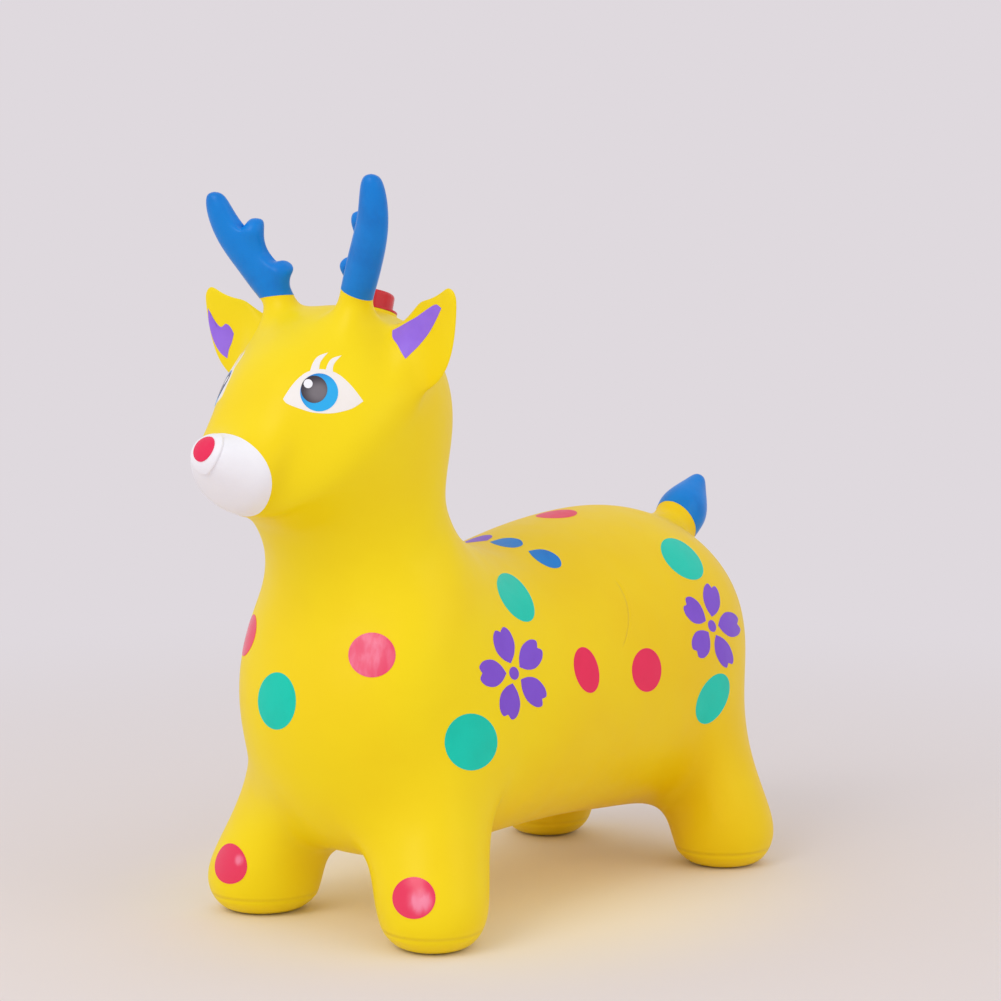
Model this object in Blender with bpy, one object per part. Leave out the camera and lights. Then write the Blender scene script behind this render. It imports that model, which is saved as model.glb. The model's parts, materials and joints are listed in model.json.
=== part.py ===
"""A bouncy ride-on deer: one hollow soft-PVC body standing on four stub legs, with moulded
ears, antlers and tail, an air plug in the belly and a sound module let into the crown.

Metres, +Z up. The deer faces -Y, its left side is +X, and the floor under its feet is Z = 0.
"""

import math

import bmesh
import bpy
import numpy as np
from mathutils import Matrix, Vector
from mathutils.bvhtree import BVHTree

# Overall sizes that the shares below follow
BODY_LENGTH = 0.56
CROWN_HEIGHT = 0.435
BODY_WIDTH = 0.218
SKIN = 0.003
CLEARANCE = 0.0003
OVERRUN = 0.002

# Legs
HIP_HEIGHT = 0.1
FOOT_RADIUS = 0.041
FOOT_EDGE_HEIGHT = 0.011

# Head fittings
EAR_LENGTH = 0.052
EAR_HEIGHT = 0.05
EAR_THICKNESS = 0.015
ANTLER_HEIGHT = 0.096
ANTLER_THICKNESS = 0.024
TINE_THICKNESS = 0.014
TAIL_LENGTH = 0.058
TAIL_SET_BACK = 0.0135
TAIL_DIAMETER = 0.046

# Belly valve and its plug
VALVE_BORE = 0.009
VALVE_COLLAR_WIDTH = 0.0075
VALVE_COLLAR_DEPTH = 0.009
VALVE_COLLAR_LIP = 0.001
VALVE_SHARE = -0.03  # where it is along BODY_LENGTH
PLUG_HEAD_WIDTH = 0.0045
PLUG_HEAD_THICKNESS = 0.0024
PLUG_TIP_LENGTH = 0.005
PLUG_RIB_SHARE = 0.82
PLUG_TAB_WIDTH = 0.011
PLUG_TAB_DROP = 0.006
PLUG_TAB_THICKNESS = 0.0022

# Sound module let into the crown
MODULE_SHARE = -0.238  # where it is along BODY_LENGTH
MODULE_SINK = 0.0004
POCKET_WALL = 0.0025
BARREL_DIAMETER = 0.034
BARREL_RISE = 0.0135
BARREL_WALL = 0.0016
SHOULDER_RADIUS = 0.0028
FLANGE_WIDTH = 0.0035
FLANGE_THICKNESS = 0.0016
EDGE_RADIUS = 0.0005
BUTTON_DIAMETER = 0.01
BUTTON_PROUD = 0.0016
BUTTON_TRAVEL = 0.0012
BUTTON_LIP_WIDTH = 0.0012
BUTTON_LIP_THICKNESS = 0.001
BUTTON_STEM_DIAMETER = 0.0035
BUTTON_STEM_LENGTH = 0.0023
SLOT_COUNT = 6
SLOT_WIDTH = 0.0018
SLOT_SWEEP = math.radians(34)
SLOT_RING_SHARE = 0.5
POST_COUNT = 3
POST_DIAMETER = 0.0042
POST_INSET = 0.0009
SCREW_DIAMETER = 0.002
SCREW_HEAD_DIAMETER = 0.0038
SCREW_HEAD_HEIGHT = 0.0013
SCREW_BITE = 0.006
SCREW_SLOT_WIDTH = 0.0007
SCREW_SLOT_DEPTH = 0.0006
BOARD_THICKNESS = 0.0012
SWITCH_SIDE = 0.006
SWITCH_HEIGHT = 0.0022
PLUNGER_DIAMETER = 0.003
PLUNGER_HEIGHT = 0.0008
CHIP_DIAMETER = 0.005
CHIP_HEIGHT = 0.0014
SHAKE_CAN_DIAMETER = 0.003
SHAKE_CAN_LENGTH = 0.007
SOUND_GAP = 0.001
SPEAKER_DEPTH = 0.0036
SPEAKER_WALL = 0.0006
MAGNET_THICKNESS = 0.0016
MAGNET_SHARE = 0.58
CONE_THICKNESS = 0.0004
CONE_RISE = 0.0006
TRAY_WALL = 0.0012
TRAY_PLATE = 0.0012
NOTCH_COUNT = 6
NOTCH_WIDTH = 0.003
CELL_COUNT = 3
CELL_HEIGHT = 0.0054
CELL_RADIUS_SHARE = 0.384
CELL_RING_SHARE = 0.51
CELL_CAP_SHARE = 0.8
CELL_CAP_HEIGHT = 0.0006
CONTACT_THICKNESS = 0.0003
CONTACT_WIDTH = 0.004
COVER_THICKNESS = 0.0016

# The module's own heights, from the roof down; zero is the underside of the flange
ROOF = BARREL_RISE - BARREL_WALL
BUTTON_LIP = ROOF - CLEARANCE - BUTTON_LIP_THICKNESS
STEM_END = BUTTON_LIP - BUTTON_STEM_LENGTH
PLUNGER_TOP = STEM_END - BUTTON_TRAVEL - CLEARANCE
SWITCH_TOP = PLUNGER_TOP - PLUNGER_HEIGHT
BOARD_TOP = SWITCH_TOP - SWITCH_HEIGHT - CLEARANCE
RING_TOP = BOARD_TOP - BOARD_THICKNESS - CLEARANCE
SPEAKER_TOP = RING_TOP - SOUND_GAP
SPEAKER_BASE = SPEAKER_TOP - SPEAKER_DEPTH
TRAY_TOP = SPEAKER_BASE - CLEARANCE
TRAY_CEILING = TRAY_TOP - TRAY_PLATE
UPPER_CONTACT = TRAY_CEILING - CLEARANCE - CONTACT_THICKNESS
CELL_TOP = UPPER_CONTACT - CLEARANCE
CELL_BASE = CELL_TOP - CELL_HEIGHT
LOWER_CONTACT = CELL_BASE - CLEARANCE - CONTACT_THICKNESS
COVER_TOP = LOWER_CONTACT - CLEARANCE
COVER_BASE = COVER_TOP - COVER_THICKNESS
SKIRT_END = COVER_BASE - CLEARANCE - SCREW_HEAD_HEIGHT

# And its radii, from the barrel inwards
BARREL_RADIUS = BARREL_DIAMETER / 2
BARREL_BORE = BARREL_RADIUS - BARREL_WALL
TRAY_RADIUS = BARREL_BORE - CLEARANCE
POST_RING = TRAY_RADIUS - POST_INSET - POST_DIAMETER / 2
BOARD_RADIUS = POST_RING - POST_DIAMETER / 2 - CLEARANCE
RING_BORE = BOARD_RADIUS - TRAY_WALL
SPEAKER_RADIUS = RING_BORE - CLEARANCE
CELL_RADIUS = TRAY_RADIUS * CELL_RADIUS_SHARE
CELL_RING = TRAY_RADIUS * CELL_RING_SHARE

# Finish of each kind of piece: colour, roughness, metallic
BODY_YELLOW = ((0.93, 0.66, 0.02), 0.42, 0.0)
MODULE_RED = ((0.62, 0.01, 0.015), 0.25, 0.0)
BUTTON_WHITE = ((0.85, 0.84, 0.8), 0.35, 0.0)
PLUG_WHITE = ((0.8, 0.8, 0.78), 0.45, 0.0)
BOARD_GREEN = ((0.02, 0.2, 0.07), 0.4, 0.0)
BLACK_PLASTIC = ((0.02, 0.02, 0.02), 0.5, 0.0)
BRIGHT_METAL = ((0.7, 0.7, 0.72), 0.25, 1.0)
FILM_GREY = ((0.5, 0.5, 0.5), 0.3, 0.0)

# Sections along the body, from rump to nose: name, then the top point (along, up), the
# underside point (along, up) and the half width. Along is a share of BODY_LENGTH, up one of
# CROWN_HEIGHT, half width one of BODY_WIDTH.
SECTION_SHARES = (
    ("rump", (0.442, 0.478), (0.448, 0.366), 0.147),
    ("tail_seat", (0.414, 0.528), (0.427, 0.267), 0.262),
    ("haunch", (0.372, 0.572), (0.386, 0.184), 0.378),
    ("loin", (0.221, 0.632), (0.245, 0.096), 0.494),
    ("saddle", (0.08, 0.614), (0.096, 0.11), 0.495),
    ("withers", (-0.018, 0.584), (-0.075, 0.112), 0.486),
    ("shoulder", (-0.061, 0.589), (-0.211, 0.104), 0.472),
    ("breast", (-0.122, 0.62), (-0.352, 0.184), 0.446),
    ("chest", (-0.164, 0.666), (-0.389, 0.372), 0.39),
    ("collar", (-0.173, 0.713), (-0.361, 0.471), 0.32),
    ("neck", (-0.168, 0.756), (-0.356, 0.552), 0.31),
    ("throat", (-0.154, 0.805), (-0.368, 0.598), 0.314),
    ("nape", (-0.15, 0.864), (-0.382, 0.632), 0.335),
    ("poll", (-0.204, 0.97), (-0.409, 0.657), 0.356),
    ("ear_line", (-0.25, 0.986), (-0.421, 0.667), 0.358),
    ("brow", (-0.354, 0.972), (-0.441, 0.671), 0.288),
    ("face", (-0.425, 0.9), (-0.457, 0.678), 0.188),
    ("muzzle", (-0.47, 0.808), (-0.482, 0.694), 0.16),
    ("nose", (-0.507, 0.8), (-0.527, 0.765), 0.052),
)
# How many rings there are from each section to the next
GAP_COUNT = (1, 1, 3, 2, 2, 2, 3, 2, 1, 1, 1, 1, 2, 1, 3, 2, 2, 2)
# Where a section's points stand round it, in degrees from the top: over the torso, on the head
TORSO_ANGLES = (0, 12, 33, 58, 84, 108, 126, 146, 165, 180)
HEAD_ANGLES = (0, 11, 25, 40, 63, 88, 113, 137, 160, 180)
TORSO_FULLNESS = 0.92
HEAD_FULLNESS = 0.94
# A limb takes the faces from the first column over this many
LEG_COLUMN_COUNT = (5, 3)
EAR_COLUMN_COUNT = (3, 2)
ANTLER_COLUMN_COUNT = (1, 2)

# Legs: hip and foot centres as shares of half BODY_WIDTH and BODY_LENGTH, then how much longer
# than wide the foot is. The front pair reaches forward, the rear pair back.
FRONT_LEG_SHARES = ((0.55, -0.24), (0.743, -0.282), 1.1)
REAR_LEG_SHARES = ((0.697, 0.271), (0.807, 0.305), 1.05)
# Radius up the leg: height as a share of HIP_HEIGHT, radius as one of FOOT_RADIUS
LEG_RADIUS_SHARES = ((0.0, 0.64), (0.11, 0.86), (0.34, 1.0), (0.7, 0.84), (1.0, 0.78))
# How high each ring of the leg keeps of the root loop's height, and how far it has drawn in
LEG_RING_SHARES = ((0.68, 0.6), (0.42, 0.95), (0.22, 1.0))
SOLE_RING_SHARES = (0.66, 0.34)
ROOT_SMOOTHINGS = 4

# Ears: place of each ring from the root (out, forward, up) as shares of EAR_LENGTH, its lean
# outward in degrees, its height, thickness and how far the front bows out (below 1 hollows it)
EAR_RING_SHARES = (
    ((0.22, 0.05, 0.26), 12, 0.52, 0.37, 1.0),
    ((0.43, 0.11, 0.36), 14, 0.6, 0.27, 0.2),
    ((0.66, 0.15, 0.52), 30, 0.47, 0.2, 0.1),
    ((0.84, 0.17, 0.85), 45, 0.2, 0.17, 0.6),
    ((0.93, 0.19, 1.06), 53, 0.08, 0.12, 1.0),
)
# Antlers: place of each ring from the root (out, forward, up) as shares of ANTLER_HEIGHT, its
# lean in degrees, then its width and depth as shares of ANTLER_THICKNESS
ANTLER_RING_SHARES = (
    ((0.03, -0.01, 0.1), 0, 1.02, 1.0),
    ((0.06, 0.01, 0.17), 12, 0.98, 0.88),
    ((0.13, 0.04, 0.29), 27, 1.1, 0.86),
    ((0.22, 0.08, 0.44), 30, 1.1, 0.86),
    ((0.31, 0.13, 0.57), 27, 1.08, 0.82),
    ((0.39, 0.18, 0.71), 20, 0.96, 0.78),
    ((0.43, 0.23, 0.87), 5, 0.82, 0.7),
    ((0.44, 0.26, 1.01), 0, 0.5, 0.5),
)
# The two tines: tip place from the root as shares of ANTLER_HEIGHT
TINE_TIP_SHARES = ((-0.05, 0.01, 0.41), (0.17, 0.1, 0.75))
# The right antler stands a little lower, as soft mouldings do
RIGHT_ANTLER_SHARE = 0.91
TINE_RING_SHARES = ((0.3, 1.15), (0.7, 0.95), (1.05, 0.6))
TINE_SEAT_DROP = 0.012  # how far below its tip a tine leaves the beam
# Tail: height along its own axis and radius, as shares of TAIL_LENGTH and TAIL_DIAMETER
TAIL_RING_SHARES = ((0.05, 0.4), (0.22, 0.43), (0.4, 0.46), (0.62, 0.34), (0.82, 0.19), (1.0, 0.1))
TAIL_LEAN = math.radians(42)

# The air space: how far its cage stands inside the skin's, in skins, and more at rump and nose
CAVITY_INSET = 1.25
END_INSET = 3
LEG_CAVITY_SIDES = 10
LEG_CAVITY_SHARES = ((0.0, 0.75), (0.11, 0.95), (0.34, 0.94), (0.7, 0.78), (1.0, 0.74), (1.2, 0.5))

# Sides of the round pieces: no corner falls on the body's midline
BARREL_SIDES = 34
COLLAR_SIDES = 26
SCREW_START = math.radians(30)
CELL_START = math.radians(90)
DOME_ANGLES = [math.radians(a) for a in (0, 25, 50, 75)]
SIDES = (1, -1)
X, Y, Z = Vector((1, 0, 0)), Vector((0, 1, 0)), Vector((0, 0, 1))


def remove_startup_objects():
    for thing in list(bpy.data.objects):
        bpy.data.objects.remove(thing)


def finish_material(name, finish):
    colour, roughness, metallic = finish
    material = bpy.data.materials.new(name)
    material.use_nodes = True
    shader = material.node_tree.nodes["Principled BSDF"]
    shader.inputs["Base Color"].default_value = (*colour, 1)
    shader.inputs["Roughness"].default_value = roughness
    shader.inputs["Metallic"].default_value = metallic
    return material


def add_object(name, bm, finish=None, parent=None):
    """Makes an object of the bmesh; with no finish it is a hidden cutter."""
    bmesh.ops.recalc_face_normals(bm, faces=bm.faces)
    mesh = bpy.data.meshes.new(name)
    bm.to_mesh(mesh)
    bm.free()
    made = bpy.data.objects.new(name, mesh)
    bpy.context.scene.collection.objects.link(made)
    made.parent = parent
    if finish is None:
        made.hide_render = True
        made.display_type = "WIRE"
        return made
    mesh.materials.append(finish_material(name, finish))
    mesh.shade_smooth()
    return made


def boolean(target, cutter, operation):
    cut = target.modifiers.new(operation.lower(), "BOOLEAN")
    cut.operation = operation
    cut.object = cutter
    cut.solver = "EXACT"


def section_rings():
    """The five section values at every ring, on a smooth curve through the named sections."""
    knots = []
    rows = []
    for name, top, under, half in SECTION_SHARES:
        knots.append(ring_number(name))
        along = (top[0] * BODY_LENGTH, under[0] * BODY_LENGTH)
        up = (top[1] * CROWN_HEIGHT, under[1] * CROWN_HEIGHT)
        rows.append((along[0], up[0], along[1], up[1], half * BODY_WIDTH))
    rows = np.array(rows)
    slopes = np.gradient(rows, knots, axis=0)
    rings = []
    for k in range(len(knots) - 1):
        span = knots[k + 1] - knots[k]
        for step in range(span):
            t = step / span
            start = (1 + 2 * t) * (1 - t) ** 2 * rows[k] + t * (1 - t) ** 2 * span * slopes[k]
            end = t * t * (3 - 2 * t) * rows[k + 1] + t * t * (t - 1) * span * slopes[k + 1]
            rings.append(start + end)
    rings.append(rows[-1])
    return rings


def ring_number(name):
    names = [row[0] for row in SECTION_SHARES]
    return sum(GAP_COUNT[: names.index(name)])


def spline_gain(count):
    """How far outside the smooth surface the corners of a ring of this many points stand."""
    return 3 / (2 + math.cos(math.tau / count))


def ring_points(number, values, gain):
    """The points round one section, from the top down the left side and up the right."""
    top = Vector((0, values[0], values[1]))
    under = Vector((0, values[2], values[3]))
    centre = (top + under) / 2
    rise = (top - under) / 2 * gain
    half = values[4] * gain
    first, last = ring_number("chest"), ring_number("nape")
    share = min(1, max(0, (number - first + 1) / (last - first)))
    power = TORSO_FULLNESS * (1 - share) + HEAD_FULLNESS * share
    left = [a * (1 - share) + b * share for a, b in zip(TORSO_ANGLES, HEAD_ANGLES)]
    points = []
    for angle, side in [(a, 1) for a in left] + [(a, -1) for a in left[-2:0:-1]]:
        turn = math.radians(angle)
        up = math.copysign(abs(math.cos(turn)) ** power, math.cos(turn))
        out = side * abs(math.sin(turn)) ** power
        points.append(centre + rise * up + X * half * out)
    return points


def tube_faces(bm, rings):
    """Faces between the rings, by ring and column, and the two end faces."""
    count = len(rings[0])
    faces = {}
    for i in range(len(rings) - 1):
        for k in range(count):
            after = (k + 1) % count
            corners = (rings[i][k], rings[i + 1][k], rings[i + 1][after], rings[i][after])
            faces[i, k] = bm.faces.new(corners)
    bm.faces.new(rings[0])
    bm.faces.new(rings[-1][::-1])
    return faces


def open_patch(bm, rings, faces, first, rows, columns, side):
    """Takes faces out of the body's tube and returns the loop of points round the hole."""
    count = len(rings[0])
    low = columns[0] if side > 0 else count - columns[0] - columns[1]
    high = low + columns[1]
    for i in range(first, first + rows):
        for k in range(low, high):
            bm.faces.remove(faces.pop((i, k % count)))
    last = first + rows
    path = [(first, k) for k in range(low, high)]
    path += [(i, high) for i in range(first, last)]
    path += [(last, k) for k in range(high, low, -1)]
    path += [(i, low) for i in range(last, first, -1)]
    return [rings[i][k % count] for i, k in path]


def middle(points):
    return sum((p.co for p in points), Vector()) / len(points)


class Limb:
    """Rings of points that grow from a loop, each turned to match the loop's points."""

    def __init__(self, bm, loop, u, v):
        self.bm = bm
        self.rings = [loop]
        self.bands = []
        self.count = len(loop)
        self.gain = spline_gain(self.count)
        centre = middle(loop)
        angles = [math.atan2((p.co - centre).dot(v), (p.co - centre).dot(u)) for p in loop]
        turned = sum(
            math.remainder(angles[(j + 1) % self.count] - angles[j], math.tau) for j in range(self.count)
        )
        self.step = math.copysign(math.tau / self.count, turned)
        drift = [math.remainder(a - angles[0] - j * self.step, math.tau) for j, a in enumerate(angles)]
        self.start = angles[0] + sum(drift) / self.count

    def angles(self):
        return [self.start + j * self.step for j in range(self.count)]

    def add(self, points):
        new = [self.bm.verts.new(p) for p in points]
        old = self.rings[-1]
        band = []
        for j in range(self.count):
            after = (j + 1) % self.count
            band.append(self.bm.faces.new((old[j], old[after], new[after], new[j])))
        self.bands.append(band)
        self.rings.append(new)

    def oval(self, centre, u, v, ru, rv, bow=1):
        """Adds an oval ring. A bow below 1 draws its -v side in, and so hollows it."""
        points = []
        for angle in self.angles():
            across = math.sin(angle)
            if across < 0:
                across *= bow
            points.append(centre + (u * ru * math.cos(angle) + v * rv * across) * self.gain)
        self.add(points)

    def close(self):
        self.bm.faces.new(self.rings[-1])


def leg_centre(shares, height):
    """Where the leg's middle line is at this height: hip and foot joined by a straight line."""
    hip, foot = shares[0], shares[1]
    widest = LEG_RADIUS_SHARES[2][0] * HIP_HEIGHT
    share = max(0, (height - widest) / (HIP_HEIGHT - widest))
    out = (foot[0] * (1 - share) + hip[0] * share) * BODY_WIDTH / 2
    along = (foot[1] * (1 - share) + hip[1] * share) * BODY_LENGTH
    return out, along


def leg_radius(height):
    heights = [row[0] * HIP_HEIGHT for row in LEG_RADIUS_SHARES]
    radii = [row[1] * FOOT_RADIUS for row in LEG_RADIUS_SHARES]
    return float(np.interp(height, heights, radii))


def leg_point(shares, side, height, angle, radius):
    out, along = leg_centre(shares, height)
    splay = Vector((side, math.copysign(1, along), 0)).normalized()
    across = splay.cross(Z)
    stretch = shares[2]
    around = splay * math.cos(angle) * stretch + across * math.sin(angle)
    return Vector((side * out, along, height)) + around * radius


def add_leg(bm, loop, shares, side):
    """A stub leg: its rings keep the slope of the loop they leave and level out at the foot."""
    splay = Vector((side, math.copysign(1, shares[1][1]), 0)).normalized()
    leg = Limb(bm, loop, splay, splay.cross(Z))
    for keep, draw in LEG_RING_SHARES:
        points = []
        for root, angle in zip(loop, leg.angles()):
            height = root.co.z * keep
            place = leg_point(shares, side, height, angle, leg_radius(height) * leg.gain)
            points.append(root.co * (1 - draw) + place * draw)
            points[-1].z = height
        leg.add(points)
    edge = FOOT_EDGE_HEIGHT
    leg.add(leg_point(shares, side, edge, a, leg_radius(edge) * leg.gain) for a in leg.angles())
    for share in SOLE_RING_SHARES:
        leg.add(leg_point(shares, side, 0, a, share * FOOT_RADIUS) for a in leg.angles())
    leg.close()
    for _ in range(ROOT_SMOOTHINGS):
        verts = leg.rings[0] + leg.rings[1]
        bmesh.ops.smooth_vert(bm, verts=verts, factor=0.5, use_axis_x=True, use_axis_y=True, use_axis_z=True)


def add_ear(bm, loop, side):
    root = middle(loop)
    back = Vector((0.25 * side, 1, 0)).normalized()
    ear = Limb(bm, loop, Z, back)
    for place, lean, height, thickness, bow in EAR_RING_SHARES:
        centre = root + Vector((side * place[0], -place[1], place[2])) * EAR_LENGTH
        up = Z * math.cos(math.radians(lean)) - X * side * math.sin(math.radians(lean))
        ear.oval(centre, up, back, height * EAR_HEIGHT, thickness * EAR_THICKNESS, bow)
    ear.close()


def add_antler(bm, loop, side):
    root = middle(loop)
    rise = 1 if side > 0 else RIGHT_ANTLER_SHARE
    beam = Limb(bm, loop, X * side, Y)
    for place, lean, width, depth in ANTLER_RING_SHARES:
        centre = root + Vector((side * place[0], -place[1], place[2] * rise)) * ANTLER_HEIGHT
        out = X * side * math.cos(math.radians(lean)) - Z * math.sin(math.radians(lean))
        beam.oval(centre, out, Y, width * ANTLER_THICKNESS / 2, depth * ANTLER_THICKNESS / 2)
    beam.close()
    for place in TINE_TIP_SHARES:
        tip = Vector((side * place[0], -place[1], place[2] * (1 + rise) / 2)) * ANTLER_HEIGHT
        add_tine(bm, beam, root + tip)


def add_tine(bm, beam, tip):
    """A short branch that takes the two faces of the beam nearest to its tip."""
    seats = [(i, j) for i in range(2, len(beam.bands) - 1) for j in range(beam.count)]
    seats = [(i, j) for i, j in seats if beam.bands[i][j].is_valid and beam.bands[i - 1][j].is_valid]
    seat = tip - Z * TINE_SEAT_DROP
    i, j = min(seats, key=lambda at: (seat - middle([beam.rings[at[0]][at[1]]])).length)
    after = (j + 1) % beam.count
    low, waist, high = beam.rings[i - 1], beam.rings[i], beam.rings[i + 1]
    loop = [low[j], low[after], waist[after], high[after], high[j], waist[j]]
    bm.faces.remove(beam.bands[i][j])
    bm.faces.remove(beam.bands[i - 1][j])
    start = middle(loop)
    reach = tip - start
    across = reach.cross(Y).normalized()
    tine = Limb(bm, loop, across, Y)
    for along, width in TINE_RING_SHARES:
        radius = width * TINE_THICKNESS / 2
        tine.oval(start + reach * along, across, Y, radius, radius)
    tine.close()


def add_tail(bm, loop):
    axis = Z * math.cos(TAIL_LEAN) + Y * math.sin(TAIL_LEAN)
    across = axis.cross(X)
    root = middle(loop) + Y * TAIL_SET_BACK
    tail = Limb(bm, loop, X, across)
    for along, radius in TAIL_RING_SHARES:
        size = radius * TAIL_DIAMETER
        tail.oval(root + axis * along * TAIL_LENGTH, X, across, size, size)
    tail.close()


def body_cage():
    """The outer skin as a cage of flat faces, which a Subdivision Surface rounds."""
    bm = bmesh.new()
    values = section_rings()
    gain = spline_gain(2 * len(TORSO_ANGLES) - 2)
    rings = [[bm.verts.new(p) for p in ring_points(i, row, gain)] for i, row in enumerate(values)]
    faces = tube_faces(bm, rings)
    for side in SIDES:
        for shares, start in ((FRONT_LEG_SHARES, "shoulder"), (REAR_LEG_SHARES, "haunch")):
            loop = open_patch(bm, rings, faces, ring_number(start), 3, LEG_COLUMN_COUNT, side)
            add_leg(bm, loop, shares, side)
        ear_loop = open_patch(bm, rings, faces, ring_number("ear_line") - 1, 2, EAR_COLUMN_COUNT, side)
        add_ear(bm, ear_loop, side)
        antler_loop = open_patch(bm, rings, faces, ring_number("ear_line") + 1, 2, ANTLER_COLUMN_COUNT, side)
        add_antler(bm, antler_loop, side)
    add_tail(bm, open_patch(bm, rings, faces, ring_number("tail_seat"), 2, (-1, 2), 1))
    bmesh.ops.delete(bm, geom=[v for v in bm.verts if not v.link_faces], context="VERTS")
    bmesh.ops.delete(bm, geom=[e for e in bm.edges if not e.link_faces], context="EDGES")
    return bm


def body_cavity():
    """The air space: the trunk's sections drawn in by the skin, closed short of rump and nose."""
    bm = bmesh.new()
    cage = section_rings()
    last = len(cage) - 2
    inner = []
    for i in [*range(0, ring_number("chest"), 2), *range(ring_number("chest"), last + 1)]:
        before, after = cage[max(i - 1, 0)], cage[i + 1]
        values = (before + cage[i] * 4 + after) / 6  # where the rounded cage really passes
        top, under = Vector((0, *values[0:2])), Vector((0, *values[2:4]))
        inset = (top - under).normalized() * SKIN * CAVITY_INSET
        shift = Y * SKIN * {0: -END_INSET, last: END_INSET}.get(i, 0)
        top, under = top - inset + shift, under + inset + shift
        row = (top.y, top.z, under.y, under.z, values[4] - SKIN * CAVITY_INSET)
        inner.append([bm.verts.new(p) for p in ring_points(i, row, 1)])
    tube_faces(bm, inner)
    return bm


def leg_cavity(shares, side):
    """The air space in one leg, which reaches up into the trunk's."""
    bm = bmesh.new()
    rings = []
    for up, size in LEG_CAVITY_SHARES:
        height = max(up * HIP_HEIGHT, SKIN * CAVITY_INSET)
        radius = (leg_radius(height) - SKIN * CAVITY_INSET) * size
        angles = [math.tau * k / LEG_CAVITY_SIDES for k in range(LEG_CAVITY_SIDES)]
        level = (shares[0], shares[1], 1)
        rings.append([bm.verts.new(leg_point(level, side, height, a, radius)) for a in angles])
    tube_faces(bm, rings)
    return bm


def turned(profile, sides):
    """A solid of revolution about Z; the profile's points run once round its section."""
    bm = bmesh.new()
    loops = []
    for radius, height in profile:
        if radius == 0:
            loops.append([bm.verts.new((0, 0, height))] * sides)
            continue
        turns = [math.tau * k / sides for k in range(sides)]
        loops.append([bm.verts.new((radius * math.cos(t), radius * math.sin(t), height)) for t in turns])
    for i, loop in enumerate(loops):
        other = loops[(i + 1) % len(loops)]
        for k in range(sides):
            after = (k + 1) % sides
            corners = dict.fromkeys((loop[k], loop[after], other[after], other[k]))
            if len(corners) > 2:
                bm.faces.new(corners)
    return bm


def disc(radius, low, high, sides=20):
    return turned(((0, low), (radius, low), (radius, high), (0, high)), sides)


def arc(centre, radius, start, end, steps):
    """Points of a round edge in a profile, between two directions in degrees."""
    points = []
    for k in range(steps + 1):
        turn = math.radians(start + (end - start) * k / steps)
        points.append((centre[0] + radius * math.cos(turn), centre[1] + radius * math.sin(turn)))
    return points


def slab(outline, low, high):
    """A flat plate with this outline, between two heights."""
    bm = bmesh.new()
    face = bm.faces.new([bm.verts.new((x, y, low)) for x, y in outline])
    grown = bmesh.ops.extrude_face_region(bm, geom=[face])
    moved = [v for v in grown["geom"] if isinstance(v, bmesh.types.BMVert)]
    bmesh.ops.translate(bm, vec=(0, 0, high - low), verts=moved)
    return bm


def box(x, y, low, high):
    return slab(((-x / 2, -y / 2), (x / 2, -y / 2), (x / 2, y / 2), (-x / 2, y / 2)), low, high)


def capsule(length, width, low, high):
    """A strip with round ends, its middle on the axis."""
    right = arc((length / 2, 0), width / 2, -90, 90, 6)
    left = arc((-length / 2, 0), width / 2, 90, 270, 6)
    if length == 0:
        return disc(width / 2, low, high, 12)
    return slab(right + left, low, high)


def round_the_axis(shape, count, radius, start):
    """Copies of a shape in a ring round Z, each turned outwards, in one mesh."""
    mesh = bpy.data.meshes.new("shape")
    shape.to_mesh(mesh)
    shape.free()
    bm = bmesh.new()
    for k in range(count):
        known = len(bm.verts)
        bm.from_mesh(mesh)
        bm.verts.ensure_lookup_table()
        turn = Matrix.Rotation(start + math.tau * k / count, 4, "Z")
        bmesh.ops.transform(bm, matrix=turn @ Matrix.Translation((radius, 0, 0)), verts=bm.verts[known:])
    return bm


def seat_on(body, start, direction):
    """Where a line first meets the body's skin, and the skin's normal there."""
    graph = bpy.context.evaluated_depsgraph_get()
    place, normal, _, _ = BVHTree.FromObject(body, graph).ray_cast(start, direction)
    return place, normal


def make_body():
    """The skin, hollowed, and then the places of the module and the valve on it."""
    body = add_object("body_shell", body_cage(), BODY_YELLOW)
    rounding = body.modifiers.new("rounding", "SUBSURF")
    rounding.levels = 1
    rounding.render_levels = 1
    crown, lean = seat_on(body, Vector((0, MODULE_SHARE * BODY_LENGTH, CROWN_HEIGHT * 2)), -Z)
    belly, _ = seat_on(body, Vector((0, VALVE_SHARE * BODY_LENGTH, 0)), Z)
    cavity = add_object("cavity", body_cavity())
    for side in SIDES:
        for name, shares in (("front", FRONT_LEG_SHARES), ("rear", REAR_LEG_SHARES)):
            stub = add_object(f"{name}_leg_cavity_{side}", leg_cavity(shares, side))
            boolean(cavity, stub, "UNION")
    boolean(body, cavity, "DIFFERENCE")
    module = bpy.data.objects.new("module_axis", None)
    bpy.context.scene.collection.objects.link(module)
    tilt = math.atan2(lean.y, lean.z)
    module.location = (0, crown.y - math.sin(tilt) * MODULE_SINK, crown.z - math.cos(tilt) * MODULE_SINK)
    module.rotation_euler.x = -tilt
    valve = bpy.data.objects.new("valve_axis", None)
    bpy.context.scene.collection.objects.link(valve)
    valve.location = belly
    return body, module, valve


def joined(placed):
    """Shapes at the places of their axes, in one mesh."""
    bm = bmesh.new()
    for shape, axis in placed:
        mesh = bpy.data.meshes.new("shape")
        shape.transform(axis.matrix_basis)
        shape.to_mesh(mesh)
        shape.free()
        bm.from_mesh(mesh)
    return bm


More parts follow.
